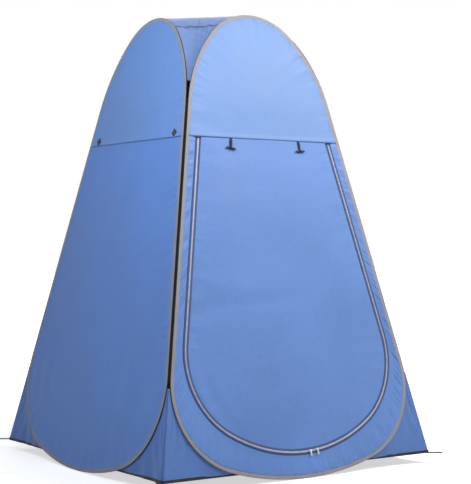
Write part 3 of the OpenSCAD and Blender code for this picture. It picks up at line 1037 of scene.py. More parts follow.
@dataclass
class PanelCloth(SubAssembly):
    """The stretched cloth inside a hoop, above and below the cross seam."""

    row_step: float = 0.0055
    columns: int = 96
    tuck: float = 0.0035
    thickness: float = 0.0006
    pucker: float = 0.0016
    belly: float = 0.005
    face_z: float = 0.0005
    margin: float = 0.0
    lip: float = 0.0030
    lap: float = 0.0035
    fold: float = 0.0026

    def relief(self, x: Array, y: Array, side: Side, outline: Array) -> Array:
        """How far the cloth stands out of its panel.

        A slow belly falls to nothing at the sleeve and at the cross seam, and the edge rises
        to the sleeve's face. Puckers run in from the sewn edge and die away over 50 mm. A few
        long soft folds, each a bell across its own line, run up and across the panel.

        Args:
            x: distance across.
            y: height up the slope.
            side: the side, which picks the folds.
            outline: the sleeve's inner edge.
        Returns:
            Heights out of the panel.
        """
        seed = 11 + side.value
        gap, along = edge_distance(x, y, outline)
        held = 1.0 - np.exp(-np.maximum(gap - self.margin, 0.0) / 0.010)
        gather = 0.35 + 0.65 * ease(0.2, 0.9, ripple(along, 0.42, seed + 1) * 0.5 + 0.5)
        puckers = self.pucker * gather * ripple(along, 0.030, seed + 2) * np.exp(-gap / 0.030)
        soft = 0.0012 * ripple(along, 0.085, seed + 4) * np.exp(-gap / 0.075)
        held = held * self.calm(x, y, side)
        belly = self.belly * (1.0 - np.exp(-gap / 0.16)) * ease(0.02, 0.18, np.abs(y - self.plan.seam_y))
        height = held * (puckers + soft + belly)
        rng = np.random.default_rng(seed)
        for _ in range(7):
            cx, cy = rng.uniform(-0.32, 0.32), rng.uniform(0.15, 1.25)
            turn = rng.uniform(-0.35, 0.35) + (math.pi / 2 if rng.random() < 0.45 else 0.0)
            width, length = rng.uniform(0.03, 0.08), rng.uniform(0.16, 0.42)
            u = (x - cx) * math.cos(turn) + (y - cy) * math.sin(turn)
            v = (y - cy) * math.cos(turn) - (x - cx) * math.sin(turn)
            bell = np.exp(-((u / width) ** 2) - (v / length) ** 2)
            height = height + held * rng.uniform(-self.fold, self.fold) * bell
        weave_wave = 0.0005 * ripple(y + 0.2 * x, 0.19, seed + 6) * ripple(x, 0.16, seed + 7)
        low_band = np.exp(-(((y - 0.33) / 0.13) ** 2)) * ease(0.16, 0.5, np.abs(x))
        drag = 0.0042 * ripple(gap * 0.8 + 0.3 * x, 0.12, seed + 9) * low_band
        lip = self.lip * np.exp(-gap / 0.018)
        return height + lip + held * (weave_wave + drag * np.sign(-x + 1e-9) * 0.6)

    def calm(self, x: Array, y: Array, side: Side) -> Array:
        """How freely the cloth moves: nothing where a toggle or a tab is sewn to it, 1 far off."""
        plan = self.plan
        tab = plan.edge_x(plan.hoop_k, plan.seam_y) - plan.sleeve_w / 2 - 0.0575
        spots = [(tab, plan.seam_y + 0.014, 0.022, 0.022)]
        if side is Side.FRONT:
            spots = [(0.172, plan.seam_y - 0.030, 0.024, 0.034)]
        free = np.ones_like(x)
        for cx, cy, rx, ry in spots:
            away = ((np.abs(x) - cx) / rx) ** 2 + ((y - cy) / ry) ** 2
            free = free * (1.0 - np.exp(-(away**2) / 4.0))
        return free

    def rows(self, half: Array, low: float, high: float) -> Array:
        """A half outline's points from height low to height high, evenly spaced."""
        inside = half[(half[:, 1] > low) & (half[:, 1] < high)]
        ends = []
        for y in (low, high):
            if half[0, 1] < y < half[-1, 1]:
                ends.append([np.interp(y, half[:, 1], half[:, 0]), y])
            else:
                ends.append([0.002, half[0, 1] if y == low else half[-1, 1]])
        inside = np.concatenate([[ends[0]], inside, [ends[1]]])
        return resample(inside, self.row_step)

    def spread(self, rows: Array) -> tuple[Array, Array]:
        """Points across each row, closer together near the edges: w (1.35 t - 0.35 t^3)."""
        t = np.linspace(-1.0, 1.0, self.columns + 1)
        t = 1.35 * t - 0.35 * t**3
        x = np.maximum(rows[:, 0, None], 0.002) * t[None, :]
        return x, np.broadcast_to(rows[:, 1, None], x.shape)

    def sheet(self, name: str, x: Array, y: Array, z: Array, side: Side) -> bpy.types.Object:
        """A cloth piece from its panel points, cut to them laid flat."""
        points = self.plan.place(x, y, z, side)
        points[..., 2] = np.maximum(points[..., 2], 0.0008)
        obj = make_mesh(name, [Patch(points, np.stack([x, y], axis=-1))])
        thicken(obj, self.thickness)
        return obj

    def build(self, side: Side, reach: Reach) -> None:
        """Makes one side's cloth above or below the seam."""
        plan, key = self.plan, side.key
        half = plan.hoop_half(-plan.sleeve_w / 2 + self.tuck)
        inner = plan.hoop_half(-plan.sleeve_w / 2)
        outline = resample(np.concatenate([inner[::-1] * [-1, 1], inner]), 0.004)
        if reach is Reach.ABOVE_SEAM:
            rows = self.rows(half, plan.seam_y - self.lap, plan.hoop_h + 1.0)
            finish, slot, node = self.finishes.upper, "cloth_upper", f"{key}_upper_panel"
        else:
            rows = self.rows(half, 0.0, plan.seam_y - 0.0008)
            finish, slot, node = self.finishes.lower, "cloth_lower", f"{key}_lower_panel"
        x, y = self.spread(rows)
        z = self.face_z + self.relief(x, y, side, outline)
        z = z + seam_lift(y, plan.seam_y, reach)
        name = f"{key}_{reach.value}_cloth"
        self.dress(self.sheet(name, x, y, z, side), finish, slot, key, (node,))


def seam_lift(y: Array, seam_y: float, reach: Reach) -> Array:
    """The cross seam's relief: the upper cloth laps over with a 9 mm welt, the lower one dips."""
    if reach is Reach.ABOVE_SEAM:
        return 0.0016 * (1.0 - ease(0.008, 0.011, y - seam_y))
    return -0.0009 * (1.0 - ease(0.002, 0.016, seam_y - y))


@dataclass
class DoorFront(PanelCloth):
    """The front below the seam: the door, the strip round it, and the zip between them."""

    strip_columns: int = 18
    strip_step: float = 0.0035
    tooth_pitch: float = 0.004
    tape_w: float = 0.013
    teeth_w: float = 0.0034
    tape_z: float = 0.0016
    teeth_z: float = 0.0028
    zip_gap: float = 0.0003
    top_gap: float = 0.0045
    margin: float = 0.013
    lip: float = 0.0

    def zip_path(self, off: float, spacing: float, top: float) -> Array:
        """The zip's line from its left end round to its right end, up to height top."""
        half = self.plan.zip_half(off)
        end = self.plan.edge_x(self.plan.zip_k + off, top)
        half = np.concatenate([half[:-1], [[end, top]]])
        whole = np.concatenate([half[::-1][:-1] * np.array([-1.0, 1.0]), half])
        return resample(whole, spacing)

    def surround(self) -> None:
        """The strip of cloth between the zip and the sleeve, puckered across its width.

        Each row of the grid runs from a point on the zip's line to the point as far along
        the sleeve's inner edge. Between sewn edges the puckers rise as a half sine.
        """
        plan = self.plan
        top = plan.seam_y - 0.0008
        inner = self.zip_path(self.zip_gap, self.strip_step, top)
        half = plan.hoop_half(-plan.sleeve_w / 2 + self.tuck)
        cut = half[half[:, 1] < top]
        last = [np.interp(top, half[:, 1], half[:, 0]), top]
        whole = np.concatenate([[last], cut[::-1][:-1]]) * np.array([-1.0, 1.0])
        whole = np.concatenate([whole, cut, [last]])
        outer = resample(whole, 0.001)
        outer = outer[np.linspace(0, len(outer) - 1, len(inner)).round().astype(int)]
        t = np.linspace(0.0, 1.0, self.strip_columns + 1)
        x = inner[:, 0, None] * (1 - t) + outer[:, 0, None] * t
        y = inner[:, 1, None] * (1 - t) + outer[:, 1, None] * t
        along = np.arange(len(inner))[:, None] * self.strip_step
        middle = along[-1, 0] / 2
        reach = np.abs(along - middle) / middle
        gather = 0.25 + 0.75 * np.exp(-(((reach - 0.52) / 0.17) ** 2))
        puckers = 0.0021 * gather * ripple(along, 0.017, 41) + 0.0016 * ripple(along, 0.06, 42)
        free = np.clip((t[None, :] - 0.30) / 0.70, 0.0, 1.0)
        height = np.sin(math.pi * free) * (puckers + 0.0015) + 0.0028 * ease(0.45, 1.0, t)[None, :]
        z = self.face_z + height + seam_lift(y, plan.seam_y, Reach.BELOW_SEAM)
        obj = self.sheet_strip("door_surround_cloth", x, y, z, inner)
        self.dress(obj, self.finishes.lower, "cloth_lower", "front", ("door_surround",))

    def sheet_strip(self, name: str, x: Array, y: Array, z: Array, path: Array) -> bpy.types.Object:
        """A strip of cloth that follows a path, cut as the shape that it has laid flat."""
        points = self.plan.place(x, y, z, Side.FRONT)
        points[..., 2] = np.maximum(points[..., 2], 0.0008)
        obj = make_mesh(name, [Patch(points, np.stack([x, y], axis=-1))])
        thicken(obj, self.thickness)
        return obj

    def door(self) -> None:
        """The door's cloth, inside the zip's line."""
        plan = self.plan
        half = plan.zip_half(-self.zip_gap)
        rows = self.rows(half, 0.0, plan.seam_y - self.top_gap)
        x, y = self.spread(rows)
        outline = self.zip_path(-self.zip_gap, 0.004, plan.seam_y)
        z = self.face_z + self.relief(x, y, Side.FRONT, outline)
        z = z + 0.0012 * np.exp(-(((x - 0.05) / 0.09) ** 2)) * ease(1.2, 1.38, y)
        cloth = self.sheet("door_cloth", x, y, z, Side.FRONT)
        self.dress(cloth, self.finishes.lower, "cloth_lower", "door", ("door_flap",))

    def zip_sides(self) -> None:
        """Both stringers: a woven tape, and a coil whose turns are a sine along its length."""
        plan = self.plan
        top = plan.seam_y - self.top_gap
        stringers = ((1, "surround", "front", "zip_surround_side"), (-1, "door", "door", "zip_door_side"))
        for sign, name, body, node in stringers:
            start = 0.0008
            tape = np.array(
                [
                    [self.zip_gap, start],
                    [self.zip_gap, self.tape_z],
                    [self.tape_w * 0.55, self.tape_z + 0.0003],
                    [self.tape_w, self.tape_z - 0.0002],
                    [self.tape_w, start],
                ]
            )
            if sign < 0:
                tape = (tape * np.array([-1.0, 1.0]))[::-1]
            path = self.zip_path(0.0, 0.006, top)

            def settle(along: Array, around: Array) -> Array:
                """The tape rises and falls a little with the sewing, a third of a millimetre."""
                return 0.0003 * ripple(along, 0.03, 51) * np.ones_like(around)

            made = make_mesh(f"zip_tape_{name}", [carry(plan, Side.FRONT, path, tape[::-1], False, settle)])
            self.dress(made, self.finishes.zip_tape, "zip_tape", body, (node,))
            path = self.zip_path(0.0, self.tooth_pitch / 4, top)
            a = np.linspace(0.0, math.pi, 6)
            rise = self.teeth_z - self.tape_z
            near = self.zip_gap * 0.3
            across = near + (self.teeth_w - near) * (1 - np.cos(a)) / 2
            coil = np.stack([across, self.tape_z + 0.0002 + rise * 0.85 * np.sin(a)], axis=1)
            coil[:, 0] *= sign
            if sign > 0:
                coil = coil[::-1]
            pitch, shift = self.tooth_pitch, 0.0 if sign > 0 else 0.5

            def turns(along: Array, around: Array) -> Array:
                """Each turn of the coil: a fifth of a millimetre sine along, leaning across."""
                return 0.00022 * np.sin(2 * math.pi * (along / pitch + shift + around * 60.0))

            coil_patch = carry(plan, Side.FRONT, path, coil[::-1], False, turns, False)
            made = make_mesh(f"zip_coil_{name}", [coil_patch])
            self.dress(made, self.finishes.coil, "zip_tape", body)

    def bartacks(self) -> None:
        """Dense dark stitching across the zip's two ends, just below the seam."""
        for sign, name in ((-1, "left"), (1, "right")):
            x0 = sign * float(self.plan.edge_x(self.plan.zip_k, self.plan.seam_y - 0.012))
            u, v = np.meshgrid(np.linspace(-0.013, 0.013, 27), np.linspace(-0.0035, 0.0035, 9), indexing="xy")
            round_off = 1.0 - (u / 0.0135) ** 6
            z = 0.0018 + 0.0012 * round_off + 0.0003 * np.sin(2 * math.pi * u / 0.002)
            points = self.plan.place(x0 + u, self.plan.seam_y - 0.008 + v, z, Side.FRONT)
            patch = Patch(points, np.stack([u, v], axis=-1))
            made = thicken(make_mesh(f"zip_bartack_{name}", [patch]), 0.0006)
            self.dress(made, self.finishes.hem, "zip_tape", "front")

    def fittings(self, nodes: dict[str, bpy.types.Object]) -> None:
        """The sliders and pulls keep the model's own shapes, in polished and lacquered metal."""
        for side in ("left", "right"):
            metal = self.finishes.chrome
            pull = self.finishes.lacquer
            for node, finish in ((f"zip_slider_{side}", metal), (f"zip_pull_{side}", pull)):
                nodes[node].data.materials.clear()
                nodes[node].data.materials.append(finish.build())


@dataclass
class CornerSkirt(SubAssembly):
    """The cloth that fills each base corner between two hoops, with its hem tape."""

    tuck: float = 0.004
    columns: int = 26
    row_step: float = 0.006
    thickness: float = 0.0006
    top_drop: float = 0.045

    def half_grid(self, y: Array, columns: int) -> tuple[Array, Array]:
        """Across one half: from the sleeve's outer edge to the corner line, at each height."""
        plan = self.plan
        outer = plan.hoop_half(plan.sleeve_w / 2 - self.tuck)
        low = outer[outer[:, 1] < plan.corner_low_y]
        near = np.interp(y, low[:, 1], low[:, 0])
        far = plan.edge_x(plan.fold_k + 0.0025, y)
        t = np.linspace(0.0, 1.0, columns + 1)[None, :]
        return near[:, None] * (1 - t) + far[:, None] * t, t

    def fall(self, x: Array, y: Array, t: Array, seed: int) -> Array:
        """How the skirt hangs: hollow between sleeve and corner, with a few drag folds."""
        plan = self.plan
        width = np.maximum(plan.edge_x(plan.fold_k, y) - x[:, :1], 0.0)
        hollow = -0.035 * width * np.sin(math.pi * np.clip(t, 0, 1)) ** 1.2
        folds = 0.0022 * ripple(t * 0.2 + y * 0.9, 0.085, seed) * np.sin(math.pi * t) * ease(0.0, 0.06, width)
        flare = 0.003 * ripple(x, 0.09, seed + 5) * (1.0 - ease(0.036, 0.16, y)) * np.sin(math.pi * t)
        tucked = -0.0034 * (1.0 - np.clip(t, 0, 1)) ** 2
        return hollow + folds + flare + tucked

    def build(self, first: Side, second: Side, joined: bool) -> None:
        """Makes one corner's skirt. first's right-hand edge meets second's left-hand edge.

        Args:
            first: the side to the left of the corner, seen from outside.
            second: the side to the right of it.
            joined: whether the skirt is one sheet across both sides.
        """
        plan = self.plan
        top = plan.corner_low_y - self.top_drop
        y = np.linspace(plan.hem_y, top, int((top - plan.hem_y) / self.row_step))[:, None]
        x, t = self.half_grid(y[:, 0], self.columns)
        halves, uvs = [], []
        for side, sign in ((first, 1.0), (second, -1.0)):
            z = 0.0004 + self.fall(x, y, t, 60 + first.value + int(sign))
            points = plan.place(sign * x, y, z, side)
            across = -sign * (plan.edge_x(plan.fold_k + 0.0025, y) - x)
            uv = np.stack([across, np.broadcast_to(y - plan.hem_y, x.shape)], axis=-1)
            halves.append(points if sign > 0 else points[:, ::-1])
            uvs.append(uv if sign > 0 else uv[:, ::-1])
        name = f"{first.key}_{second.key}"
        if joined:
            middle = (halves[0][:, -1:] + halves[1][:, :1]) / 2
            points = np.concatenate([halves[0][:, :-1], middle, halves[1][:, 1:]], axis=1)
            uv = np.concatenate([uvs[0][:, :-1], uvs[1]], axis=1)
            obj = make_mesh(f"skirt_{name}", [Patch(points, uv)])
            thicken(obj, self.thickness)
            self.dress(obj, self.finishes.skirt, "cloth_skirt", None, self.nodes_for(first, second, "skirts"))
            self.bend(obj, first, second)
        else:
            for side, points, uv in zip((first, second), halves, uvs):
                obj = make_mesh(f"skirt_{name}_{side.key}", [Patch(points, uv)])
                thicken(obj, self.thickness)
                self.dress(obj, self.finishes.skirt, "cloth_skirt", side.key, (f"{side.key}_skirts",))
        self.hem(first, second, joined)

    def nodes_for(self, first: Side, second: Side, kind: str) -> tuple[str, ...]:
        """The model's nodes that a joined corner piece stands for, each named once."""
        owner = {Side.BACK: "back", Side.LEFT: "left"}
        return tuple(f"{owner[s]}_{kind}" for s in (first, second) if s in owner)

    def bend(self, obj: bpy.types.Object, first: Side, second: Side) -> None:
        """Bakes a corner piece's placement into its mesh."""
        edge = np.array(self.plan.edge_x(self.plan.fold_k, 0.2))
        corner = self.plan.place(edge, np.array(0.2), np.array(0.0), first)
        first.key
        second.key
        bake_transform(obj)

    def hem(self, first: Side, second: Side, joined: bool) -> None:
        """The black tape folded over the skirt's lower edge, and its row of stitches."""
        plan = self.plan
        y = np.array([-0.0012, -0.0016, 0.0, 0.003, 0.0065, 0.0098, 0.0104, 0.0098, 0.003, -0.0006])
        y = y + plan.hem_y
        z = np.array([-0.0004, 0.0006, 0.0017, 0.0019, 0.0018, 0.0016, 0.0008, -0.0009, -0.0012, -0.0010])
        ys = np.array([plan.hem_y])
        x, t = self.half_grid(ys, 40)
        x, t = x[0], t[0]
        strips, uvs = [], []
        for side, sign in ((first, 1.0), (second, -1.0)):
            seed = 60 + first.value + int(sign)
            edge = self.fall(x[None, :], np.array([[plan.hem_y]]), t[None, :], seed)[0]
            points = plan.place(sign * x[:, None], y[None, :], 0.0004 + edge[:, None] + z[None, :], side)
            along = sign * -1 * (x[-1] - x)
            around = np.concatenate([[0], np.cumsum(np.hypot(np.diff(y), np.diff(z)))])
            around = np.append(around, around[-1] + 0.001)
            uv = np.stack(np.meshgrid(along, around, indexing="ij"), axis=-1)
            strips.append(points if sign > 0 else points[::-1])
            uvs.append(uv if sign > 0 else uv[::-1])
        name = f"{first.key}_{second.key}"
        if joined:
            middle = (strips[0][-1:] + strips[1][:1]) / 2
            points = np.concatenate([strips[0][:-1], middle, strips[1][1:]])
            uv = np.concatenate([uvs[0][:-1], uvs[1]])
            obj = make_mesh(f"hem_{name}", [Patch(points[:, ::-1], uv[:, ::-1], wrap_cols=True)])
            self.dress(obj, self.finishes.hem, "hem_black", None, self.nodes_for(first, second, "hems"))
            self.bend(obj, first, second)
        else:
            for side, points, uv in zip((first, second), strips, uvs):
                patch = Patch(points[:, ::-1], uv[:, ::-1], wrap_cols=True)
                obj = make_mesh(f"hem_{name}_{side.key}", [patch])
                self.dress(obj, self.finishes.hem, "hem_black", side.key, (f"{side.key}_hems",))

    def corner_piping(self, owner: Side, node: str, extra: bool) -> None:
        """The round sewn seam along a corner, on the line the two sides fold about.

        Args:
            owner: the side whose right-hand edge the seam is on.
            node: the model's node that holds this seam.
            extra: whether the node has been replaced already by another seam.
        """
        plan = self.plan
        y = np.arange(plan.corner_low_y, plan.corner_high_y, 0.004)
        x = plan.edge_x(plan.fold_k, y)
        a = np.linspace(0.0, 2 * math.pi, 10, endpoint=False)
        r = 0.00145 + 0.00012 * np.sin(2 * math.pi * y / 0.016)
        px = x[:, None] + r[:, None] * np.cos(a)[None, :]
        pz = -plan.sleeve_t / 2 + r[:, None] * np.sin(a)[None, :]
        points = plan.place(px, np.broadcast_to(y[:, None], px.shape), pz, owner)
        uv = np.stack(np.meshgrid(y, np.append(a, 2 * math.pi) * 0.0015, indexing="ij"), axis=-1)
        obj = make_mesh(f"corner_seam_{owner.key}", [Patch(points[:, ::-1], uv[:, ::-1], wrap_cols=True)])
        body = node.split("_")[0]
        self.dress(obj, self.finishes.sleeve, "sleeve_black", body, () if extra else (node,))


@dataclass
class RoofCloth(SubAssembly):
    """The roof: a flat middle held by the four hoop tops, and gussets down between hoops."""

    columns: int = 16
    row_step: float = 0.006
    least_width: float = 0.012
    thickness: float = 0.0006
    slack: float = 0.10
    strip_depth: float = 0.054

    def gusset(self, side: Side, sign: float) -> Patch:
        """Half of the gusset at one corner of a side.

        Each row starts on the hoop's outer edge and runs level to the upright plane midway
        to the next hoop. It hangs inwards by a share of its length, deepest at that plane,
        and swags run across it where the cloth is slack.

        Args:
            side: the side whose hoop it hangs from.
            sign: 1 for the side's right-hand corner, -1 for its left-hand one.
        Returns:
            The patch, from the hoop's top down, its pattern in metres across and down.
        """
        plan = self.plan
        rim = plan.hoop_half(plan.sleeve_w / 2 - 0.002)
        rim = rim[rim[:, 1] > plan.corner_high_y]
        rim = resample(rim, self.row_step)[::-1]
        start = plan.place(rim[:, 0], rim[:, 1], np.full(len(rim), -0.0018), Side.FRONT)
        width = -start[:, 1] - start[:, 0]
        keep = width > self.least_width
        start, width = start[keep], width[keep]
        t = np.linspace(0.0, 1.0, self.columns + 1)
        middle = (start[:, 0] - start[:, 1]) / 2
        depth = start[0, 2] - start[:, 2]
        x = start[:, 0, None] * (1 - t) + middle[:, None] * t
        y = start[:, 1, None] * (1 - t) - middle[:, None] * t
        level = depth[:, None] + 0.006 * np.sin(math.pi / 2 * t) * ease(0.0, 0.05, depth)[:, None]
        below = ease(self.strip_depth - 0.004, self.strip_depth + 0.012, depth)[:, None]
        hang = self.slack * width[:, None] * np.sin(math.pi / 2 * t) * (0.15 + 0.85 * below)
        seed = 80 + side.value + int(sign)
        droop = np.sin(math.pi / 2 * t) ** 2
        fullness = np.sin(math.pi * np.minimum(t * 0.5 + 0.06, 0.5))
        swag = 0.0062 * ripple(level + 0.022 * droop, 0.036, 80) * fullness
        swag = swag * ease(0.02, 0.2, width)[:, None] * (0.25 + 0.75 * below)
        swag = swag * ease(0.004, 0.03, depth)[:, None]
        swag = swag + 0.0024 * ripple(level + 0.3 * t, 0.05, seed) * np.sin(math.pi * t) ** 2 * below
        lip = 0.0035 * (1.0 - ease(self.strip_depth, self.strip_depth + 0.003, depth))[:, None]
        lip = lip * ease(0.01, 0.03, depth)[:, None]
        inward = (hang + swag - lip) / math.sqrt(2.0)
        x, y = x - inward, y + inward
        sag = 0.004 * np.sin(math.pi / 2 * t) * (1 - np.exp(-depth / 0.02))[:, None]
        z = np.broadcast_to(start[:, 2, None], x.shape) - sag
        seam_wave = 0.0035 * ripple(t * width[:, None], 0.06, seed + 2) * np.sin(math.pi * t) ** 2
        z = z + seam_wave * np.exp(-(((depth - self.strip_depth) / 0.02) ** 2))[:, None]
        c, s = math.cos(side.turn), math.sin(side.turn)
        x = x * sign
        points = np.stack([c * x - s * y, s * x + c * y, z], axis=-1)
        across = t[None, :] * width[:, None] / math.sqrt(2.0)
        uv = np.stack([across, np.broadcast_to(depth[:, None], x.shape)], axis=-1)
        if sign > 0:
            points, uv = points[:, ::-1], uv[:, ::-1]
        return Patch(points, uv)

    def middle(self, side: Side) -> Patch:
        """A side's quarter of the flat middle: a square with one corner at the hoop's top."""
        plan = self.plan
        rim = plan.hoop_half(plan.sleeve_w / 2 - 0.002)[-1]
        top = plan.place(np.array(0.0), np.array(rim[1]), np.array(-0.0018), Side.FRONT)
        reach = -top[1]
        s = np.linspace(0.0, 1.0, self.columns + 1)
        a, b = np.meshgrid(s, s, indexing="ij")
        x = (a - b) * reach / 2
        y = -reach + (a + b) * reach / 2
        sag = -0.010 * np.sin(math.pi / 2 * a) * np.sin(math.pi / 2 * b)
        z = top[2] + sag + 0.0012 * ripple(x - 0.4 * y, 0.09, 91 + side.value) * a * b * (1 - a) * (1 - b) * 6
        c, sn = math.cos(side.turn), math.sin(side.turn)
        points = np.stack([c * x - sn * y, sn * x + c * y, z], axis=-1)
        return Patch(points, np.stack([a * reach * 0.7, -b * reach * 0.7], axis=-1))

    def build(self, side: Side, joint: str) -> None:
        """Makes a side's quarter of the roof."""
        plan, key = self.plan, side.key
        patches = [self.gusset(side, 1.0), self.middle(side), self.gusset(side, -1.0)]
        obj = make_mesh(f"{key}_roof_cloth", patches, merge=True)
        thicken(obj, self.thickness)
        self.dress(obj, self.finishes.roof, "cloth_roof", key, (f"{key}_roof",))
        anchor = plan.place(np.array(0.0), np.array(1.7), np.array(-0.0018), side)
        tuple(plan.normal(side))
        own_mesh(obj)


@dataclass
class Webbing(SubAssembly):
    """Peg tabs at the base corners and guy line tabs above the cross seam."""

    tab_t: float = 0.0024
    peg_reach: float = 0.034
    peg_hole: float = 0.0065
    rim_w: float = 0.005
    guy_w: float = 0.026
    guy_hole: float = 0.004

    def plate(self, outline: Array, hole: float, count: int = 9) -> tuple[Array, Array, Array]:
        """A flat plate with a round hole and soft edges.

        Rings of points run from the hole to the outline on top, round the outline's edge,
        and back underneath to the hole, where the surface closes on itself.

        Args:
            outline: the outer edge about the hole's centre, anticlockwise.
            hole: the hole's radius.
            count: rings on each face.
        Returns:
            x, y and z, each with a row to a ring.
        """
        a = np.arctan2(outline[:, 1], outline[:, 0])
        inner = hole * np.stack([np.cos(a), np.sin(a)], axis=1)
        t = np.linspace(0.0, 1.0, count)
        soft = np.minimum(1.0, np.minimum(t, 1 - t) / 0.12)
        rise = self.tab_t * (0.82 + 0.18 * np.sqrt(soft))
        sink = self.tab_t - rise
        up = inner[None] * (1 - t)[:, None, None] + outline[None] * t[:, None, None]
        x = np.concatenate([up[..., 0], up[::-1, :, 0]])
        y = np.concatenate([up[..., 1], up[::-1, :, 1]])
        z = np.concatenate([np.broadcast_to(part[:, None], up.shape[:2]) for part in (rise, sink)])
        return x, y, z

    def peg_tab(self, side: Side, name: str) -> None:
        """One corner's peg tab: a tongue from the hem to a round end with a hole."""
        plan = self.plan
        sin, cos = math.sin(plan.lean), math.cos(plan.lean)
        corner = plan.base / 2 - (plan.hem_y + self.tab_t) * sin
        face = corner + (0.0008 + 0.001 + 0.0003) / cos + self.tab_t * sin
        centre = np.array([corner + self.peg_reach, -corner - self.peg_reach])
        rim = self.peg_hole + self.rim_w
        a = np.linspace(math.radians(45), math.radians(-135), 50)
        end = centre + rim * np.stack([np.cos(a), np.sin(a)], axis=1)
        root = np.array([[corner - 0.044, -face], [corner + 0.002, -face]])
        loop = np.concatenate([root, end, root[:1]])
        loop = resample(loop, 0.0022)[:-1][::-1] - centre
        x, y, z = self.plate(loop, self.peg_hole)
        c, s = math.cos(side.turn), math.sin(side.turn)
        wx, wy = x + centre[0], y + centre[1]
        z0 = plan.lift + plan.hem_y * cos
        points = np.stack([c * wx - s * wy, s * wx + c * wy, z + z0], axis=-1)
        obj = make_mesh(f"peg_webbing_{name}", [Patch(points, self.pattern(x, y), True, True)])
        self.dress(obj, self.finishes.webbing, "webbing_black", side.key, (f"peg_tab_{name}",))

    @staticmethod
    def pattern(x: Array, y: Array) -> Array:
        """Pattern coordinates in the plane of the tab, repeated on the closing row and column."""
        uv = np.stack([(x - y) / math.sqrt(2), (x + y) / math.sqrt(2)], axis=-1)
        uv = np.concatenate([uv, uv[:1]], axis=0)
        return np.concatenate([uv, uv[:, :1]], axis=1)

    def guy_tab(self, side: Side, mirrored: bool, name: str) -> None:
        """A square of webbing set on its corner, with a ringed eyelet for a guy line."""
        plan = self.plan
        x0 = plan.edge_x(plan.hoop_k, plan.seam_y) - plan.sleeve_w / 2 - self.guy_w * 0.75 - 0.038
        half = self.guy_w / 2
        square = np.array([[half, -half], [half, half], [-half, half], [-half, -half], [half, -half]])
        turn = math.radians(-35)
        rot = np.array([[math.cos(turn), math.sin(turn)], [-math.sin(turn), math.cos(turn)]])
        loop = resample(square, 0.0026)[:-1] @ rot
        x, y, z = self.plate(loop, self.guy_hole)
        flip = -1.0 if mirrored else 1.0
        points = plan.place(flip * (x0 + x), plan.seam_y + 0.014 + y, 0.0012 + z, side)
        uv = self.pattern(x, y)
        if mirrored:
            points, uv = points[:, ::-1], uv[:, ::-1]
        obj = make_mesh(f"guy_webbing_{name}", [Patch(points, uv, True, True)])
        self.dress(obj, self.finishes.webbing, "webbing_black", side.key, (f"guy_tab_{name}",))
        a = np.linspace(0, 2 * math.pi, 40, endpoint=False)[:, None]
        b = np.linspace(0, 2 * math.pi, 12, endpoint=False)[None, :]
        r = 0.0047 + 0.0008 * np.cos(b)
        gx, gy = r * np.cos(a), r * np.sin(a)
        gz = 0.0012 + self.tab_t + 0.0007 * np.sin(b) * np.ones_like(a)
        ring = plan.place(flip * (x0 + gx), plan.seam_y + 0.014 + gy, gz, side)
        coords = np.zeros((41, 13, 2))
        if not mirrored:
            ring = ring[:, ::-1]
        eyelet = make_mesh(f"guy_eyelet_{name}", [Patch(ring[:, ::-1], coords, True, True)])
        self.dress(eyelet, self.finishes.grommet, "webbing_black", side.key)


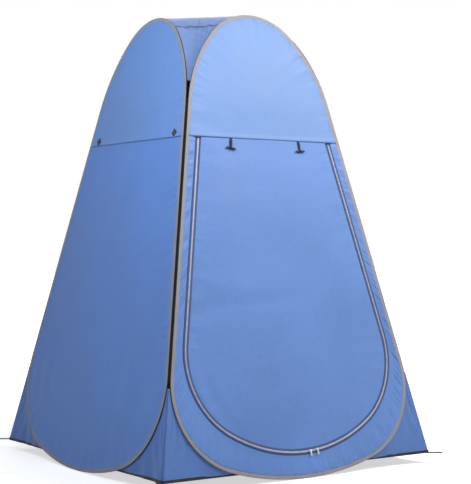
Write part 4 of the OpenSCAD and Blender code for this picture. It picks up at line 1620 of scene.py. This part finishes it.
@dataclass
class Toggles(SubAssembly):
    """Roll-up toggles on the door's top edge, and the loops inside that take them."""

    toggle_x: float = 0.172
    strap_l: float = 0.044
    strap_w: float = 0.012
    bar_l: float = 0.038
    bar_d: float = 0.008
    tie_l: float = 0.070
    slant: tuple[float, float] = (-10.0, 3.0)

    def slanted(self, sign: float, x: Array, y: Array) -> tuple[Array, Array]:
        """Points of a toggle turned about the place where its strap is sewn, by its own slant."""
        angle = math.radians(self.slant[0] if sign < 0 else self.slant[1])
        x0, y0 = sign * self.toggle_x, self.plan.seam_y - 0.002
        c, s = math.cos(angle), math.sin(angle)
        return x0 + c * (x - x0) - s * (y - y0), y0 + s * (x - x0) + c * (y - y0)

    @property
    def bar_y(self) -> float:
        """Height of the bar's middle up the slope."""
        return self.plan.seam_y - 0.0015 - self.strap_l - 0.002

    @property
    def bar_z(self) -> float:
        """Height of the bar's middle out of the panel."""
        return 0.0008 + 0.0003 + self.bar_d / 2 + 0.00015 + 0.0012

    def strap(self, sign: float, name: str) -> None:
        """The strap: a ribbon that runs down from the seam and once round the bar.

        Its line is straight with a slight bow, and then a circle about the bar's middle.
        """
        r = self.bar_d / 2 + 0.0008
        top = self.plan.seam_y - 0.0048
        down = np.linspace(top, self.bar_y + r * 1.1, 22)
        share = (top - down) / (top - down[-1])
        bow = 0.0022 + 0.0016 * np.sin(math.pi * share) + (self.bar_z - r - 0.0022 + 0.0006) * share**3
        a = np.linspace(math.radians(-52), math.radians(-395), 30)
        ly = np.concatenate([down, self.bar_y + r * np.cos(a)])
        lz = np.concatenate([bow, self.bar_z + r * np.sin(a)])
        across = np.linspace(-self.strap_w / 2, self.strap_w / 2, 9)
        x, y = self.slanted(sign, sign * self.toggle_x + across[None, :], ly[:, None])
        edge = -0.0003 * (2 * across / self.strap_w) ** 4
        length = np.concatenate([[0], np.cumsum(np.hypot(np.diff(ly), np.diff(lz)))])
        points = self.plan.place(x, y, lz[:, None] + edge[None, :], Side.FRONT)
        uv = np.stack(np.meshgrid(length, across + self.strap_w / 2, indexing="ij"), axis=-1)
        obj = thicken(make_mesh(f"toggle_ribbon_{name}", [Patch(points, uv)]), 0.0009)
        self.dress(obj, self.finishes.ribbon, "ribbon_navy", f"toggle_{name}", (f"toggle_strap_{name}",))

    def bar(self, sign: float, name: str) -> None:
        """The bar: round, thicker at its ends than at its waist, and bowed a little.

        Its radius along its length is 0.84 of full at the waist, rising as t squared, and
        it closes as a half ellipse at both ends.
        """
        t = np.concatenate([np.linspace(-1, -0.86, 8), np.linspace(-0.84, 0.84, 27), np.linspace(0.86, 1, 8)])
        cap = np.sqrt(np.clip(1 - (np.clip(np.abs(t) - 0.84, 0, 1) / 0.16) ** 2, 0.0, 1.0))
        r = self.bar_d / 2 * (0.80 + 0.20 * np.clip(np.abs(t) / 0.6, 0, 1) ** 2) * cap
        reach = self.bar_l / 2 + self.bar_d / 2
        a = np.linspace(0, 2 * math.pi, 20, endpoint=False)
        x = (t * reach)[:, None] * np.ones_like(a)[None, :]
        bow = 0.0022 * (0.3 - t**2)
        y = self.bar_y + bow[:, None] + r[:, None] * np.cos(a)[None, :]
        z = self.bar_z + r[:, None] * np.sin(a)[None, :]
        px, py = self.slanted(sign, sign * self.toggle_x + x, y)
        points = self.plan.place(px, py, np.maximum(z, 0.0012), Side.FRONT)
        uv = np.stack(np.meshgrid(t * reach, np.append(a, 2 * math.pi) * 0.004, indexing="ij"), axis=-1)
        obj = make_mesh(f"toggle_rod_{name}", [Patch(points, uv, wrap_cols=True)], merge=True)
        self.dress(obj, self.finishes.bar, "bar_plastic", f"toggle_{name}", (f"toggle_bar_{name}",))

    def ties(self) -> None:
        """Two loops of ribbon on the inner face, each a flat band bent down, round and up."""
        patches, total = [], 0.0
        for sign in (-1.0, 1.0):
            r, w = 0.0075, 0.005
            a = np.linspace(0.0, -math.pi, 24)
            drop = self.tie_l - r - w / 2
            down = np.linspace(0.0, -drop, 20)
            cx = np.concatenate([np.full(20, r), r * np.cos(a)[1:-1], np.full(20, -r)])
            cy = np.concatenate([down, -drop + r * np.sin(a)[1:-1], down[::-1]])
            line = np.stack([cx, cy], axis=1)
            out = outward(line, False)
            t = np.linspace(-0.5, 0.5, 7)
            x = cx[:, None] + out[:, 0, None] * w * t[None, :]
            y = cy[:, None] + out[:, 1, None] * w * t[None, :]
            hang = 0.0006 * np.sin(math.pi * np.clip(-y / self.tie_l, 0, 1))
            z = -0.0014 - 0.0003 * (1 - (2 * t[None, :]) ** 4) - hang
            length = np.concatenate([[0], np.cumsum(np.linalg.norm(np.diff(line, axis=0), axis=1))])
            total += float(length[-1])
            points = self.plan.place(sign * self.toggle_x + x, self.plan.seam_y + 0.012 + y, z, Side.FRONT)
            uv = np.stack(np.meshgrid(length, (t + 0.5) * 0.012, indexing="ij"), axis=-1)
            patches.append(Patch(points, uv))
        obj = thicken(make_mesh("inside_tie_ribbons", patches), 0.0006)
        self.dress(obj, self.finishes.ribbon, "ribbon_navy", "front", ("inside_tie_loops",))


@dataclass
class HoopWires(SubAssembly):
    """The spring wires and the ferrules that close them keep the model's shapes."""

    def build(self, nodes: dict[str, bpy.types.Object]) -> None:
        """Gives the wires and ferrules their steel."""
        for side in Side:
            wire, ferrule = self.finishes.steel, self.finishes.ferrule
            for node, finish in ((f"{side.key}_hoop_wire", wire), (f"{side.key}_ferrule", ferrule)):
                nodes[node].data.materials.clear()
                nodes[node].data.materials.append(finish.build())
                log.info("%s takes %s", node, finish.name)


# ---------------------------------------------------------------------------------------
# Studio
# ---------------------------------------------------------------------------------------


@dataclass
class Studio:
    """Camera, floor, lights and background."""

    azimuth: float = math.radians(-33.63)
    distance: float = 5.864
    eye_height: float = 0.945
    pitch: float = math.radians(0.98)
    lens: float = 98.89
    shift: tuple[float, float] = (0.0482, -0.05)

    def camera(self) -> None:
        """A long lens at chest height, off the front-left corner."""
        made = bpy.data.cameras.new("camera")
        made.lens = self.lens
        made.sensor_width = 36.0
        made.shift_x, made.shift_y = self.shift
        obj = bpy.data.objects.new("camera", made)
        bpy.context.scene.collection.objects.link(obj)
        s, c = math.sin(self.azimuth), math.cos(self.azimuth)
        obj.location = (s * self.distance, -c * self.distance, self.eye_height)
        aim = Vector((-s * math.cos(self.pitch), c * math.cos(self.pitch), math.sin(self.pitch)))
        obj.rotation_euler = aim.to_track_quat("-Z", "Y").to_euler()
        bpy.context.scene.camera = obj

    def light(
        self,
        name: str,
        spot: tuple[float, float, float],
        size: float,
        watts: float,
        aim: tuple[float, float, float] = (0, 0, 0.9),
        tint: tuple[float, float, float] = (1.0, 1.0, 1.0),
    ) -> None:
        """A square soft light, turned towards a point.

        Args:
            name: the light's name.
            spot: where it stands.
            size: the length of its side.
            watts: its power.
            aim: the point it faces.
            tint: its colour.
        """
        made = bpy.data.lights.new(name, "AREA")
        made.energy, made.size, made.color = watts, size, tint
        obj = bpy.data.objects.new(name, made)
        bpy.context.scene.collection.objects.link(obj)
        obj.location = spot
        obj.rotation_euler = (Vector(aim) - Vector(spot)).to_track_quat("-Z", "Y").to_euler()

    def floor(self) -> None:
        """A plain pale floor that keeps the tent's shadow and is near white to the eye."""
        t = np.linspace(-30.0, 30.0, 3)
        x, y = np.meshgrid(t, t, indexing="xy")
        points = np.stack([x, y, np.full_like(x, -0.0005)], axis=-1)
        obj = make_mesh("floor", [Patch(points, np.stack([x, y], axis=-1))])
        material = bpy.data.materials.new("pale floor")
        material.use_nodes = True
        g = Graph(material.node_tree)
        shader = material.node_tree.nodes["Principled BSDF"]
        grain = g.noise(g.node("ShaderNodeTexCoord").outputs["Object"], 3.0, 2.0)
        g.join(g.mix(grain, (0.66, 0.66, 0.66, 1), (0.70, 0.70, 0.70, 1)), shader.inputs["Base Color"])
        shader.inputs["Roughness"].default_value = 0.9
        path = g.node("ShaderNodeLightPath")
        seen = g.math("MAXIMUM", path.outputs["Is Camera Ray"], path.outputs["Is Glossy Ray"])
        seen = g.math("MAXIMUM", seen, path.outputs["Is Transmission Ray"])
        reach = g.node("ShaderNodeVectorMath", operation="LENGTH")
        g.join(g.node("ShaderNodeTexCoord").outputs["Object"], reach.inputs[0])
        far = g.ramp(reach.outputs["Value"], 1.1, 3.2)
        strength = g.math("ADD", 0.62, g.math("MULTIPLY", far, 0.5))
        glow = g.node("ShaderNodeEmission")
        glow.inputs["Color"].default_value = (1, 1, 1, 1)
        g.join(g.math("MULTIPLY", seen, strength), glow.inputs["Strength"])
        total = g.node("ShaderNodeAddShader")
        g.join(shader.outputs[0], total.inputs[0])
        g.join(glow.outputs[0], total.inputs[1])
        out = material.node_tree.nodes["Material Output"]
        g.join(total.outputs[0], out.inputs["Surface"])
        obj.data.materials.append(material)

    def world(self) -> None:
        """White to the eye and in reflections, and a dim even fill for the rest."""
        world = bpy.data.worlds.new("world")
        bpy.context.scene.world = world
        world.use_nodes = True
        g = Graph(world.node_tree)
        back = world.node_tree.nodes["Background"]
        back.inputs["Color"].default_value = (1, 1, 1, 1)
        path = g.node("ShaderNodeLightPath")
        seen = g.math("MAXIMUM", path.outputs["Is Camera Ray"], path.outputs["Is Glossy Ray"])
        seen = g.math("MAXIMUM", seen, path.outputs["Is Transmission Ray"])
        g.join(g.math("ADD", 0.10, g.math("MULTIPLY", seen, 0.90)), back.inputs["Strength"])

    def build(self) -> None:
        """Sets up the whole studio, with the plain view transform."""
        self.camera()
        self.floor()
        self.world()
        self.light("key", (1.6, -2.2, 3.2), 1.4, 132.0, (0.0, -0.4, 1.3), (1.0, 0.88, 0.74))
        self.light("fill", (-1.6, -0.9, 2.3), 1.2, 31.0, (-0.4, 0.0, 1.3), (0.86, 0.94, 1.0))
        self.light("back", (1.5, 3.5, 3.2), 2.0, 50.0)
        bpy.context.scene.view_settings.view_transform = "Standard"


# ---------------------------------------------------------------------------------------


def corners(box: tuple[Vector, Vector]) -> list[list[float]]:
    """A box's lowest and highest corner as plain lists of numbers."""
    return [[float(v) for v in corner] for corner in box]


def main() -> None:
    """Builds every sub-assembly in order, then the studio."""
    logging.basicConfig(level=logging.INFO, format="%(name)s: %(message)s")
    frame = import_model()
    plan, finishes = TentPlan(), Finishes()
    nodes = frame["nodes"]

    binding = HoopBinding(plan, finishes)
    cloth = PanelCloth(plan, finishes)
    for side in Side:
        binding.build(side)
        cloth.build(side, Reach.ABOVE_SEAM)
        if side is not Side.FRONT:
            cloth.build(side, Reach.BELOW_SEAM)

    front = DoorFront(plan, finishes)
    front.door()
    front.surround()
    front.zip_sides()
    front.bartacks()
    front.fittings(nodes)

    skirts = CornerSkirt(plan, finishes)
    skirts.build(Side.FRONT, Side.RIGHT, False)
    skirts.build(Side.RIGHT, Side.BACK, True)
    skirts.build(Side.BACK, Side.LEFT, True)
    skirts.build(Side.LEFT, Side.FRONT, True)
    skirts.corner_piping(Side.LEFT, "left_corner_seam", False)
    skirts.corner_piping(Side.BACK, "back_corner_seams", False)
    skirts.corner_piping(Side.RIGHT, "back_corner_seams", True)

    roof = RoofCloth(plan, finishes)
    roof.build(Side.FRONT, "front_fold")
    roof.build(Side.LEFT, "left_fold")
    roof.build(Side.BACK, "left_fold")
    roof.build(Side.RIGHT, "right_fold")

    webbing = Webbing(plan, finishes)
    webbing.peg_tab(Side.FRONT, "front_right")
    webbing.peg_tab(Side.RIGHT, "back_right")
    webbing.peg_tab(Side.BACK, "back_left")
    webbing.peg_tab(Side.LEFT, "front_left")
    webbing.guy_tab(Side.LEFT, False, "front_left")
    webbing.guy_tab(Side.LEFT, True, "back_left")
    webbing.guy_tab(Side.RIGHT, False, "back_right")
    webbing.guy_tab(Side.RIGHT, True, "front_right")

    toggles = Toggles(plan, finishes)
    for sign, name in ((-1.0, "left"), (1.0, "right")):
        toggles.strap(sign, name)
        toggles.bar(sign, name)
    toggles.ties()

    HoopWires(plan, finishes).build(nodes)
    Studio().build()


if __name__ == "__main__":
    main()
